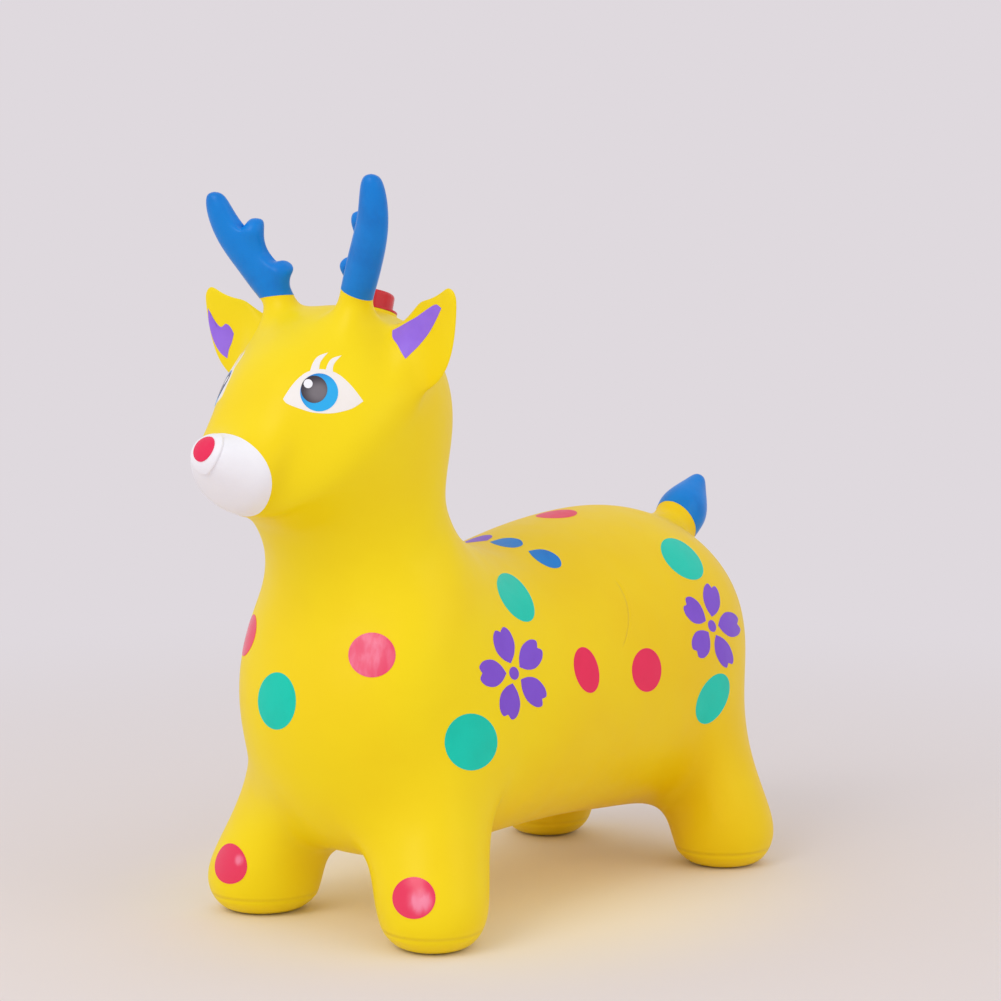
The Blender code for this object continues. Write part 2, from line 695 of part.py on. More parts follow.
def cut_openings(body, module, valve):
    """A closed cup with a flat rim for the module, and a thick collar round the plug's hole."""
    rim = BARREL_RADIUS + FLANGE_WIDTH
    cup = BARREL_RADIUS + CLEARANCE + POCKET_WALL
    floor = SKIRT_END - CLEARANCE
    step = -SKIN - POCKET_WALL
    blank = ((0, floor - POCKET_WALL), (cup, floor - POCKET_WALL), (cup, step), (rim, step), (rim, OVERRUN))
    collar = disc(VALVE_BORE / 2 + VALVE_COLLAR_WIDTH, -VALVE_COLLAR_LIP, VALVE_COLLAR_DEPTH, COLLAR_SIDES)
    blanks = joined(((turned(blank + ((0, OVERRUN),), BARREL_SIDES), module), (collar, valve)))
    boolean(body, add_object("pocket_and_collar", blanks), "UNION")
    bore = BARREL_RADIUS + CLEARANCE
    clear = rim + CLEARANCE
    high = BARREL_RISE
    pocket = ((0, floor), (bore, floor), (bore, -CLEARANCE), (clear, -CLEARANCE), (clear, high), (0, high))
    hole = disc(VALVE_BORE / 2, -VALVE_COLLAR_LIP - OVERRUN, VALVE_COLLAR_DEPTH + OVERRUN, COLLAR_SIDES)
    bores = joined(((turned(pocket, BARREL_SIDES), module), (hole, valve)))
    boolean(body, add_object("bores", bores), "DIFFERENCE")


def add_plug(valve):
    """The push-in plug: a ribbed tapering shank, a flat head and a tab to pull it by."""
    radius = VALVE_BORE / 2 - CLEARANCE
    waist = radius * PLUG_RIB_SHARE
    top = -VALVE_COLLAR_LIP - CLEARANCE
    low = top - PLUG_HEAD_THICKNESS
    head = VALVE_BORE / 2 + PLUG_HEAD_WIDTH
    end = VALVE_COLLAR_DEPTH + PLUG_TIP_LENGTH
    step = (end - top) / 6
    shank = [(radius, top), (radius, top + step), (waist, top + step * 2), (radius, top + step * 2.3)]
    shank += [(waist, top + step * 3.5), (radius, top + step * 3.8), (waist, end - step * 0.6), (0, end)]
    rim = arc((head - EDGE_RADIUS, low + EDGE_RADIUS), EDGE_RADIUS, -90, 0, 2)
    plug = add_object("air_plug", turned([(0, low)] + rim + [(head, top)] + shank, 24), PLUG_WHITE, valve)
    outline = arc((0, -PLUG_TAB_DROP + PLUG_TAB_WIDTH / 4), PLUG_TAB_WIDTH / 2, 180, 360, 10)
    outline += [(PLUG_TAB_WIDTH / 2, OVERRUN), (-PLUG_TAB_WIDTH / 2, OVERRUN)]
    half = PLUG_TAB_THICKNESS / 2
    tab = add_object("pull_tab", slab(outline, -half, half), parent=valve)
    tab.location.z = low
    tab.rotation_euler.x = math.radians(90)
    boolean(plug, tab, "UNION")


def add_housing(module):
    """The red cap: barrel, flange, rounded shoulder, button hole, sound slots and three posts."""
    side = BARREL_RADIUS
    rim = side + FLANGE_WIDTH
    hole = BUTTON_DIAMETER / 2 + CLEARANCE
    profile = [(BARREL_BORE, SKIRT_END), (side, SKIRT_END), (side, 0), (rim, 0)]
    profile += arc((rim - EDGE_RADIUS, FLANGE_THICKNESS - EDGE_RADIUS), EDGE_RADIUS, 0, 90, 2)
    profile += [(side, FLANGE_THICKNESS)]
    profile += arc((side - SHOULDER_RADIUS, BARREL_RISE - SHOULDER_RADIUS), SHOULDER_RADIUS, 0, 90, 5)
    profile += [(hole, BARREL_RISE), (hole, ROOF), (BARREL_BORE, ROOF)]
    housing = add_object("module_housing", turned(profile, BARREL_SIDES), MODULE_RED, module)
    foot = TRAY_TOP + CLEARANCE
    post = disc(POST_DIAMETER / 2, foot, ROOF + BARREL_WALL / 2, 12)
    posts = round_the_axis(post, POST_COUNT, POST_RING, SCREW_START)
    boolean(housing, add_object("posts", posts, parent=module), "UNION")
    pilot = disc(SCREW_DIAMETER / 2 + CLEARANCE, foot - OVERRUN, foot + SCREW_BITE + CLEARANCE, 10)
    pilots = round_the_axis(pilot, POST_COUNT, POST_RING, SCREW_START)
    boolean(housing, add_object("pilots", pilots, parent=module), "DIFFERENCE")
    ring = BARREL_RADIUS * SLOT_RING_SHARE
    sweep = math.degrees(SLOT_SWEEP) / 2
    outline = arc((0, 0), ring + SLOT_WIDTH / 2, -sweep, sweep, 4)
    outline += arc((0, 0), ring - SLOT_WIDTH / 2, sweep, -sweep, 4)
    slots = round_the_axis(slab(outline, ROOF - OVERRUN, BARREL_RISE + OVERRUN), SLOT_COUNT, 0, 0)
    boolean(housing, add_object("slots", slots, parent=module), "DIFFERENCE")


def add_button(module):
    """A domed cap with a lip that stops it under the roof and a stem over the switch."""
    cap = BUTTON_DIAMETER / 2
    lip = cap + BUTTON_LIP_WIDTH
    top = BARREL_RISE + BUTTON_PROUD
    edge = BUTTON_PROUD / 2
    lip_top = ROOF - CLEARANCE
    profile = [(0, STEM_END), (BUTTON_STEM_DIAMETER / 2, STEM_END), (BUTTON_STEM_DIAMETER / 2, BUTTON_LIP)]
    profile += [(lip, BUTTON_LIP), (lip, lip_top), (cap, lip_top)]
    profile += arc((cap - edge, top - edge), edge, 0, 90, 3) + [(0, top)]
    add_object("press_button", turned(profile, 24), BUTTON_WHITE, module)


def add_electronics(module):
    """The board on the tray's ring, and what is soldered to it."""
    low = BOARD_TOP - BOARD_THICKNESS
    add_object("circuit_board", disc(BOARD_RADIUS, low, BOARD_TOP, 28), BOARD_GREEN, module)
    base = BOARD_TOP + CLEARANCE
    case = box(SWITCH_SIDE, SWITCH_SIDE, base, SWITCH_TOP)
    switch = add_object("tact_switch", case, BLACK_PLASTIC, module)
    plunger = disc(PLUNGER_DIAMETER / 2, SWITCH_TOP - SWITCH_HEIGHT / 2, PLUNGER_TOP, 16)
    boolean(switch, add_object("plunger", plunger, parent=module), "UNION")
    blob = CHIP_DIAMETER / 2
    dome = [(blob * math.cos(t), base + CHIP_HEIGHT * math.sin(t)) for t in DOME_ANGLES]
    drop = turned([(0, base)] + dome + [(0, base + CHIP_HEIGHT)], 16)
    chip = add_object("sound_chip", drop, BLACK_PLASTIC, module)
    chip.location.y = SWITCH_SIDE / 2 + CLEARANCE + blob
    can = SHAKE_CAN_DIAMETER / 2
    tube = disc(can, -SHAKE_CAN_LENGTH / 2, SHAKE_CAN_LENGTH / 2, 16)
    shake = add_object("shake_switch", tube, BRIGHT_METAL, module)
    shake.rotation_euler.y = math.radians(90)
    shake.location = (0, -SWITCH_SIDE / 2 - CLEARANCE - can, base + can)


def add_speaker(module):
    """A small loudspeaker that faces up: pan, magnet and domed film."""
    bore = SPEAKER_RADIUS - SPEAKER_WALL
    floor = SPEAKER_BASE + SPEAKER_WALL
    pan = ((0, SPEAKER_BASE), (SPEAKER_RADIUS, SPEAKER_BASE), (SPEAKER_RADIUS, SPEAKER_TOP))
    pan += ((bore, SPEAKER_TOP), (bore, floor), (0, floor))
    add_object("speaker_frame", turned(pan, 28), BRIGHT_METAL, module)
    low = floor + CLEARANCE
    magnet = disc(SPEAKER_RADIUS * MAGNET_SHARE, low, low + MAGNET_THICKNESS, 20)
    add_object("speaker_magnet", magnet, BRIGHT_METAL, module)
    low += MAGNET_THICKNESS + CLEARANCE
    edge = bore - CLEARANCE
    high = low + CONE_THICKNESS
    film = ((0, low + CONE_RISE), (edge / 2, low + CONE_RISE * 0.75), (edge, low), (edge, high))
    film += ((edge / 2, high + CONE_RISE * 0.75), (0, high + CONE_RISE))
    add_object("speaker_cone", turned(film, 24), FILM_GREY, module)


def add_tray(module):
    """The inner tray: three cell bores below, a notched ring above for speaker and board."""
    lip = TRAY_RADIUS - TRAY_WALL
    foot = COVER_TOP + CLEARANCE
    under = LOWER_CONTACT + CONTACT_THICKNESS + CLEARANCE
    profile = ((0, under), (lip, under), (lip, foot), (TRAY_RADIUS, foot), (TRAY_RADIUS, TRAY_TOP))
    profile += ((BOARD_RADIUS, TRAY_TOP), (BOARD_RADIUS, RING_TOP), (RING_BORE, RING_TOP))
    profile += ((RING_BORE, TRAY_TOP), (0, TRAY_TOP))
    tray = add_object("battery_tray", turned(profile, BARREL_SIDES), BLACK_PLASTIC, module)
    bore = disc(CELL_RADIUS + CLEARANCE, foot - OVERRUN, TRAY_CEILING, 20)
    bores = round_the_axis(bore, CELL_COUNT, CELL_RING, CELL_START)
    boolean(tray, add_object("cell_bores", bores, parent=module), "DIFFERENCE")
    reach = CELL_RING + CONTACT_WIDTH / 2 + CLEARANCE
    recess = disc(reach, CELL_TOP, TRAY_CEILING, 24)
    boolean(tray, add_object("contact_recess", recess, parent=module), "DIFFERENCE")
    hole = disc(SCREW_DIAMETER / 2 + CLEARANCE, foot - OVERRUN, TRAY_TOP + OVERRUN, 10)
    holes = round_the_axis(hole, POST_COUNT, POST_RING, SCREW_START)
    boolean(tray, add_object("tray_holes", holes, parent=module), "DIFFERENCE")
    notch = box(TRAY_WALL * 3, NOTCH_WIDTH, SPEAKER_TOP, RING_TOP + OVERRUN)
    notches = round_the_axis(notch, NOTCH_COUNT, BOARD_RADIUS - TRAY_WALL / 2, 0)
    boolean(tray, add_object("sound_notches", notches, parent=module), "DIFFERENCE")


def add_cells(module):
    """Three button cells in series, the middle one upside down."""
    half = CELL_HEIGHT / 2
    cap = CELL_RADIUS * CELL_CAP_SHARE
    shoulder = half - CELL_CAP_HEIGHT
    profile = ((0, -half), (CELL_RADIUS, -half), (CELL_RADIUS, shoulder))
    profile += ((cap, shoulder), (cap, half), (0, half))
    for k in range(CELL_COUNT):
        cell = add_object(f"button_cell_{k + 1}", turned(profile, 20), BRIGHT_METAL, module)
        turn = CELL_START + math.tau * k / CELL_COUNT
        cell.location = (CELL_RING * math.cos(turn), CELL_RING * math.sin(turn), CELL_BASE + half)
        cell.rotation_euler.x = math.radians(180) if k % 2 else 0


def add_contacts(module):
    """A strip and a tab above the cells and the same below, which join them in series."""
    chord = 2 * CELL_RING * math.sin(math.pi / CELL_COUNT)
    middle_ring = CELL_RING * math.cos(math.pi / CELL_COUNT)
    part_turn = math.tau / CELL_COUNT
    for name, level, low, first in (("upper", 0, UPPER_CONTACT, 0), ("lower", 1, LOWER_CONTACT, 1)):
        turn = CELL_START + part_turn * (first + 0.5)
        high = low + CONTACT_THICKNESS
        link = capsule(chord, CONTACT_WIDTH, low, high)
        strip = add_object(f"contact_strip_{name}", link, BRIGHT_METAL, module)
        strip.location = (middle_ring * math.cos(turn), middle_ring * math.sin(turn), 0)
        strip.rotation_euler.z = turn + math.radians(90)
        alone = CELL_START + part_turn * (first + 2)
        pad = capsule(0, CONTACT_WIDTH, low, high)
        tab = add_object(f"contact_tab_{name}", pad, BRIGHT_METAL, module)
        tab.location = (CELL_RING * math.cos(alone), CELL_RING * math.sin(alone), 0)


def add_cover(module):
    """The base cover, and the three long screws that hold it and the tray to the posts."""
    plate = disc(TRAY_RADIUS, COVER_BASE, COVER_TOP, BARREL_SIDES)
    cover = add_object("base_cover", plate, MODULE_RED, module)
    hole = disc(SCREW_DIAMETER / 2 + CLEARANCE, COVER_BASE - OVERRUN, COVER_TOP + OVERRUN, 10)
    holes = round_the_axis(hole, POST_COUNT, POST_RING, SCREW_START)
    boolean(cover, add_object("cover_holes", holes, parent=module), "DIFFERENCE")
    head = COVER_BASE - CLEARANCE
    end = TRAY_TOP + CLEARANCE + SCREW_BITE
    shank = SCREW_DIAMETER / 2
    wide = SCREW_HEAD_DIAMETER / 2
    profile = ((0, SKIRT_END), (wide, SKIRT_END), (wide, head))
    profile += ((shank, head), (shank, end - shank), (0, end))
    for k in range(POST_COUNT):
        screw = add_object(f"cover_screw_{k + 1}", turned(profile, 12), BRIGHT_METAL, module)
        turn = SCREW_START + math.tau * k / POST_COUNT
        screw.location = (POST_RING * math.cos(turn), POST_RING * math.sin(turn), 0)
        deep = SKIRT_END + SCREW_SLOT_DEPTH
        slot = box(SCREW_HEAD_DIAMETER * 2, SCREW_SLOT_WIDTH, SKIRT_END - OVERRUN, deep)
        boolean(screw, add_object(f"screw_slot_{k + 1}", slot, parent=screw), "DIFFERENCE")


def centre_on_origin(body):
    """Moves everything along Y until the origin lies under the middle of the body."""
    graph = bpy.context.evaluated_depsgraph_get()
    ends = [corner[1] for corner in body.evaluated_get(graph).bound_box]
    for thing in bpy.data.objects:
        if thing.parent is None:
            thing.location.y -= (min(ends) + max(ends)) / 2


def main():
    remove_startup_objects()
    body, module, valve = make_body()
    cut_openings(body, module, valve)
    add_plug(valve)
    add_housing(module)
    add_button(module)
    add_electronics(module)
    add_speaker(module)
    add_tray(module)
    add_cells(module)
    add_contacts(module)
    add_cover(module)
    centre_on_origin(body)
    for thing in bpy.data.objects:
        if thing.type == "MESH" and not thing.hide_render and thing is not body:
            thing.data.set_sharp_from_angle(angle=math.radians(40))


if __name__ == "__main__":
    main()
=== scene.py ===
"""A bouncy ride-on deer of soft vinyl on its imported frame: satin skin, sprayed paint marks and
the finishes of its fittings. Metres, +Z up, the deer faces -Y and its left side is +X.
"""

import json
import math

import bmesh
import bpy
import numpy as np
from mathutils import Euler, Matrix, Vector
from mathutils.bvhtree import BVHTree


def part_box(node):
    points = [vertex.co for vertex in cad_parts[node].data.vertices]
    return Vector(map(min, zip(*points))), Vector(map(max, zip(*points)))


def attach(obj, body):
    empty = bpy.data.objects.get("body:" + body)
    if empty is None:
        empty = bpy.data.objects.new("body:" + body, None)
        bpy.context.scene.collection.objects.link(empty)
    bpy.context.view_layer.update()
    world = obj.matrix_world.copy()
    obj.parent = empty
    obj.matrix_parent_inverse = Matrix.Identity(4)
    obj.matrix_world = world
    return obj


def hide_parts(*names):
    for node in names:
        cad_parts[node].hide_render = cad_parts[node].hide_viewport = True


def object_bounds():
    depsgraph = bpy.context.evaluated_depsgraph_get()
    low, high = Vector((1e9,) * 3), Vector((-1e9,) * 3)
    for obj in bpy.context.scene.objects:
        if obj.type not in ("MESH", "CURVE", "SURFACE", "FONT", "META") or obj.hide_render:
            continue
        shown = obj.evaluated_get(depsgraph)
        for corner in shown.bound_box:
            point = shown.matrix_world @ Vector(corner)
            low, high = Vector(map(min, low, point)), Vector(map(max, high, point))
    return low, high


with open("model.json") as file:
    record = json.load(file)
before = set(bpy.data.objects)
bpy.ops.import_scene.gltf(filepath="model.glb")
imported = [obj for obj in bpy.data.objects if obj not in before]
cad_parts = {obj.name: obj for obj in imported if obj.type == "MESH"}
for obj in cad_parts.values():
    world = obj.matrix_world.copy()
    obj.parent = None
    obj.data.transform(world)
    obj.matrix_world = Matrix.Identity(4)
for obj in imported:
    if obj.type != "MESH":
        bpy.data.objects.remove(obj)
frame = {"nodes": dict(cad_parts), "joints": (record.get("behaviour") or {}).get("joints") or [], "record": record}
CAD_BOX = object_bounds()

bl_info = {
    "name": "Bouncy ride-on deer",
    "version": (1, 0, 0),
    "blender": (4, 5, 0),
    "location": "3D View > Sidebar > Deer",
    "description": "Dresses the frame of an inflatable ride-on deer with its skin, paint and finishes",
    "category": "Object",
}

# Overall sizes that the shares below follow
BODY_LENGTH = 0.56
CROWN_HEIGHT = 0.435
BODY_WIDTH = 0.218

# Legs
HIP_HEIGHT = 0.1
FOOT_RADIUS = 0.041
FOOT_EDGE_HEIGHT = 0.011

# Ears, antlers, tines and tail
EAR_LENGTH = 0.052
EAR_HEIGHT = 0.05
EAR_THICKNESS = 0.015
ANTLER_HEIGHT = 0.096
ANTLER_THICKNESS = 0.024
TINE_THICKNESS = 0.014
TAIL_LENGTH = 0.058
TAIL_SET_BACK = 0.0135
TAIL_DIAMETER = 0.046

# Sections along the body, from rump to nose: name, then the top point (along, up), the
# underside point (along, up) and the half width. Along is a share of BODY_LENGTH, up one of
# CROWN_HEIGHT, half width one of BODY_WIDTH.
SECTION_SHARES = (
    ("rump", (0.442, 0.478), (0.448, 0.366), 0.147),
    ("tail_seat", (0.414, 0.528), (0.427, 0.267), 0.262),
    ("haunch", (0.372, 0.572), (0.386, 0.184), 0.378),
    ("loin", (0.221, 0.632), (0.245, 0.096), 0.494),
    ("saddle", (0.08, 0.614), (0.096, 0.11), 0.495),
    ("withers", (-0.018, 0.584), (-0.075, 0.112), 0.486),
    ("shoulder", (-0.061, 0.589), (-0.211, 0.104), 0.472),
    ("breast", (-0.122, 0.62), (-0.352, 0.184), 0.446),
    ("chest", (-0.164, 0.666), (-0.389, 0.372), 0.39),
    ("collar", (-0.173, 0.713), (-0.361, 0.471), 0.32),
    ("neck", (-0.168, 0.756), (-0.356, 0.552), 0.31),
    ("throat", (-0.154, 0.805), (-0.368, 0.598), 0.314),
    ("nape", (-0.15, 0.864), (-0.382, 0.632), 0.335),
    ("poll", (-0.204, 0.97), (-0.409, 0.657), 0.356),
    ("ear_line", (-0.25, 0.986), (-0.421, 0.667), 0.358),
    ("brow", (-0.354, 0.972), (-0.441, 0.671), 0.288),
    ("face", (-0.425, 0.9), (-0.457, 0.678), 0.188),
    ("muzzle", (-0.47, 0.808), (-0.482, 0.694), 0.16),
    ("nose", (-0.507, 0.8), (-0.527, 0.765), 0.052),
)
# How many rings there are from each section to the next
GAP_COUNT = (1, 1, 3, 2, 2, 2, 3, 2, 1, 1, 1, 1, 2, 1, 3, 2, 2, 2)
# Where a section's points stand round it, in degrees from the top: over the torso, on the head
TORSO_ANGLES = (0, 12, 33, 58, 84, 108, 126, 146, 165, 180)
HEAD_ANGLES = (0, 11, 25, 40, 63, 88, 113, 137, 160, 180)
# The power of sine and cosine round a section: below 1 fills it
TORSO_FULLNESS = 0.92
HEAD_FULLNESS = 0.94
# A limb takes the faces from the first column over this many, in this many rows
LEG_COLUMN_COUNT = (5, 3)
EAR_COLUMN_COUNT = (3, 2)
ANTLER_COLUMN_COUNT = (1, 2)
TAIL_COLUMN_COUNT = (-1, 2)
LEG_ROW_COUNT = 3
SMALL_ROW_COUNT = 2

# Legs: hip and foot centres as shares of half BODY_WIDTH and BODY_LENGTH, then how much longer
# than wide the foot is. The front pair reaches forward, the rear pair back.
FRONT_LEG_SHARES = ((0.55, -0.24), (0.743, -0.282), 1.1)
REAR_LEG_SHARES = ((0.697, 0.271), (0.807, 0.305), 1.05)
# Radius up the leg: height as a share of HIP_HEIGHT, radius as one of FOOT_RADIUS
LEG_RADIUS_SHARES = ((0.0, 0.64), (0.11, 0.86), (0.34, 1.0), (0.7, 0.84), (1.0, 0.78))
# How much of the root loop's height each ring of the leg keeps, and how far it has drawn in
LEG_RING_SHARES = ((0.68, 0.6), (0.42, 0.95), (0.22, 1.0))
SOLE_RING_SHARES = (0.66, 0.34)
ROOT_SMOOTHINGS = 4  # how often the ring where a leg leaves the belly is smoothed

# Ears: place of each ring from the root (out, forward, up) as shares of EAR_LENGTH, its lean
# outward in degrees, its height, thickness and how far the front bows out (below 1 hollows it)
EAR_RING_SHARES = (
    ((0.22, 0.05, 0.26), 12, 0.52, 0.37, 1.0),
    ((0.43, 0.11, 0.36), 14, 0.6, 0.27, 0.2),
    ((0.66, 0.15, 0.52), 30, 0.47, 0.2, 0.1),
    ((0.84, 0.17, 0.85), 45, 0.2, 0.17, 0.6),
    ((0.93, 0.19, 1.06), 53, 0.08, 0.12, 1.0),
)
EAR_TURN = 0.25  # how far an ear's back faces outward for each unit that it faces back
# Antlers: place of each ring from the root (out, forward, up) as shares of ANTLER_HEIGHT, its
# lean in degrees, then its width and depth as shares of ANTLER_THICKNESS
ANTLER_RING_SHARES = (
    ((0.03, -0.01, 0.1), 0, 1.02, 1.0),
    ((0.06, 0.01, 0.17), 12, 0.98, 0.88),
    ((0.13, 0.04, 0.29), 27, 1.1, 0.86),
    ((0.22, 0.08, 0.44), 30, 1.1, 0.86),
    ((0.31, 0.13, 0.57), 27, 1.08, 0.82),
    ((0.39, 0.18, 0.71), 20, 0.96, 0.78),
    ((0.43, 0.23, 0.87), 5, 0.82, 0.7),
    ((0.44, 0.26, 1.01), 0, 0.5, 0.5),
)
# The two tines: tip place from the root as shares of ANTLER_HEIGHT
TINE_TIP_SHARES = ((-0.05, 0.01, 0.41), (0.17, 0.1, 0.75))
# The right antler stands a little lower, as soft mouldings do
RIGHT_ANTLER_SHARE = 0.91
# How far along a tine each ring is, and its width as a share of TINE_THICKNESS
TINE_RING_SHARES = ((0.3, 1.15), (0.7, 0.95), (1.05, 0.6))
TINE_SEAT_DROP = 0.012  # how far below its tip a tine leaves the beam
# Tail: height along its own axis and radius, as shares of TAIL_LENGTH and TAIL_DIAMETER
TAIL_RING_SHARES = ((0.05, 0.4), (0.22, 0.43), (0.4, 0.46), (0.62, 0.34), (0.82, 0.19), (1.0, 0.1))
TAIL_LEAN = math.radians(42)

SIDES = (1, -1)
X, Y, Z = Vector((1, 0, 0)), Vector((0, 1, 0)), Vector((0, 0, 1))

# The view: a point of the picture is given in its own units, from the top left corner, and so
# is the focal length. The camera's place follows the tip of the nose.
PICTURE_SIDE = 1001
FOCAL = 2560
VIEW_PLACE = Vector((1.2111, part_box("body_shell")[0][1] - 1.13487, 0.4543))
VIEW_TURN = Euler((math.radians(84.89), 0, math.radians(40.18)))
SENSOR_WIDTH = 36

# Where the sound module sits in the crown, above the middle of its base cover, and where the
# collar of the air plug is in the belly, below the top of the plug
LIFT = next(joint for joint in frame["joints"] if joint["name"] == "module_lift")
MODULE_AXIS = Vector(LIFT["axis"]).normalized()
COVER_DROP = 0.0121
MODULE_SEAT = sum((Vector(c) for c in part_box("base_cover")), Vector()) / 2 + MODULE_AXIS * COVER_DROP
PLUG_TOP = 0.014
VALVE = Vector((0, sum(c[1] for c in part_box("air_plug")) / 2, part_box("air_plug")[1][2] - PLUG_TOP))

# Cylinders that shape the two seats in the skin, in order: whether one is added or cut out, its
# radius, and from where to where along the seat's axis it reaches
MODULE_CUTS = (
    ("UNION", 0.0205, -0.0056, 0.001),
    ("DIFFERENCE", 0.0208, -0.0003, 0.0135),
    ("DIFFERENCE", 0.0173, -0.0148, 0.002),
)
VALVE_CUTS = (
    ("UNION", 0.012, -0.001, 0.009),
    ("DIFFERENCE", 0.0045, -0.003, 0.016),
)
# Edges turned by less than this many degrees are shaded smooth
EDGE_ANGLE = 35
SKIN_EDGE_ANGLE = 40
SMOOTH_ALL_ROUND = 180

# Paint marks: the steps of a curve from one given point to the next, the points across a lash,
# and the points of an oval or ring
CURVE_STEPS = 4
LASH_STEPS = 5
LASH_COLUMNS = 4
OVAL_POINTS = 44
SMALL_OVAL_POINTS = 24
RING_POINTS = 40
# How far a point that misses the skin is drawn in to the middle of its mark, tried in turn
DRAW_IN_SHARES = (0, 0.04, 0.09, 0.15, 0.22, 0.3, 0.4, 0.52, 0.66, 0.8)
# How wide each ring that fills a mark is beside the one round it
FILM_RING_SHARES = (0.86, 0.8, 0.72, 0.6, 0.45)
# How far before its point a cast begins, and planes above the back and before the ears
CAST_REACH = 0.3
ABOVE_BACK = 0.27
BEFORE_EARS = -0.16
# The lashes lie on the first layer of paint and below the second
LASH_LAYER = 1.4

# Outlines of the marks, as points of the picture. An outline is a row of curves that meet in
# corners, each from the last point of the one before it, the first from that of the last.
EYE_WHITE = (
    ((290.1, 388), (298.1, 378.7), (307.5, 372), (320.5, 369.2), (332.3, 371.5),
     (340.3, 375.6), (349, 383.3), (356.4, 391.9), (363.3, 401.3)),
    ((353.7, 407.7), (343.7, 411.2), (330.3, 413.4), (313.5, 412.6), (300.1, 408.8),
     (287, 403.6), (283.1, 399)),
)
# Round marks: middle, half length, half width, turn of the length in degrees
EYE_IRIS = (319.2, 392.5, 19, 19, 0)
EYE_PUPIL = (314.2, 389.5, 13.6, 13.2, 90)
EYE_GLINT = (308.2, 384, 4.5, 4.5, 0)
# The two edges of each lash, which meet at its tip
LASHES = (
    (((310, 371.5), (312.9, 363.1), (318.2, 356.4), (327.9, 352.7)),
     ((319, 371), (319.9, 363.8), (322.6, 358.9), (327.9, 352.7))),
    (((325.4, 371), (328.3, 363.1), (332.9, 358.2), (341.7, 355.5)),
     ((332.8, 373), (333.2, 366.4), (335.8, 361.5), (341.7, 355.5))),
)
# Height, width and depth of the crease round the soles
SOLE_CREASE = 0.0125
SOLE_CREASE_WIDTH = 0.0028
SOLE_CREASE_DEPTH = 0.0007
# The faint crease on the flank, and over which length its ends fade
FLANK_CREASE = ((617, 581.5), (629.3, 614), (624.5, 644.6))
FLANK_CREASE_WIDTH = 0.0022
FLANK_CREASE_DEPTH = 0.0005
FLANK_CREASE_FADE = 0.003
# Painted reflections: where the glossy pink in front is painted lighter as if it mirrored the light,
# how far each of these reaches and how strong it is, then how its streaks are drawn out: lower along an axis is
# longer
PAINTED_GLEAMS = (((420, 901), 0.0125, 0.95), ((360, 650), 0.045, 0.62), ((239, 860), 0.006, 0.8))
STREAK_STRETCH = (1, 1, 0.3)
# Where the iris and the pupil are lightest, and from where to where the colour turns to the edge's
IRIS_LIGHT = ((0.052, -0.208, 0.368), 0.012, 0.028)
PUPIL_LIGHT = ((0.0445, -0.2135, 0.3755), 0.003, 0.0115)
# Ear patches seen from the front: across and up
EAR_PATCHES = (
    (((0.1002, 0.4329), (0.0948, 0.4315), (0.0865, 0.4278), (0.079, 0.424), (0.0703, 0.4205),
      (0.064, 0.4178), (0.059, 0.4155)),
     ((0.0624, 0.4106), (0.0683, 0.4061), (0.073, 0.4009), (0.0761, 0.3972)),
     ((0.0791, 0.4014), (0.0854, 0.408), (0.0927, 0.4152), (0.1, 0.424), (0.1048, 0.4305))),
    (((-0.1095, 0.421), (-0.1035, 0.4155), (-0.0985, 0.4178), (-0.0945, 0.4155), (-0.0915, 0.411)),
     ((-0.0935, 0.405), (-0.0965, 0.4), (-0.0985, 0.3935)),
     ((-0.1045, 0.397), (-0.1095, 0.403), (-0.113, 0.4105), (-0.115, 0.4195), (-0.1145, 0.4285))),
)
# The nose: where its pad sits on the muzzle, which way it faces, its radius and the nose's
NOSE_SEAT = Vector((0, -0.276, 0.342))
NOSE_FACE = Vector((0, -0.82, 0.572))
PAD_RADIUS = 0.0132
NOSE_RADIUS = 0.0088
CHEST_TEAL = (277, 701, 28.7, 19, 90)
PINK_MARKS = (
    (586.5, 670, 23.4, 12, 77),
    (646.6, 670, 21.9, 14.7, 90),
)
FOOT_MARK = (414, 898, 21.5, 21, 0)
# The mark on the far foot: its point of the picture, its radius and how much wider than high it is
FAR_FOOT_SEAT = (228.3, 863.5)
FAR_FOOT_RADIUS = 0.0141
FAR_FOOT_STRETCH = 1.16
BREAST_MARK = (372, 655, 23.6, 22.4, 0)
FAR_BREAST_MARK = (385, 653, 23.6, 22.4, 0)
TEAL_MARKS = (
    (471, 742, 28.5, 26.4, 90),
    (515.7, 597.5, 27.7, 13.5, 57),
    (682, 559, 26.3, 14, 44),
    (712.6, 698.7, 27, 14, 114.5),
)
# Flowers: middle, where the notch of the first petal is from it, and a quarter turn on
FLOWERS = (
    ((514, 673.3), (-31.9, 0), (-4.2, -43.7)),
    ((712, 626), (-25.7, -21.6), (7.6, -33.4)),
)
PETAL_COUNT = 5
PETAL_OUTLINE = (
    ((0.4, 0.19), (0.64, 0.31), (0.92, 0.28), (1.07, 0.14), (0.99, 0)),
    ((1.07, -0.14), (0.92, -0.28), (0.64, -0.31), (0.4, -0.19), (0.24, 0)),
)
FLOWER_EYE = 0.15
# The saddle seen from above: a round on the middle line (across, along, radius), and drops
# with an outline in millimetres (where the tip is across and along, turn in degrees, side)
SADDLE_ROUND = (0, 0.0885, 0.0157)
DROP = (((5.5, 8), (13, 10.4), (21, 8.2), (25.5, 1), (22, -6.4), (14, -8.2), (6, -5.2), (0, 0)),)
BLUE_DROPS = ((0.0012, 0.0095, 17, 1), (0.0345, 0.0135, 14, 1), (-0.0345, 0.0135, 14, -1))
PURPLE_DROPS = ((-0.004, 0.0125, 17, -1),)
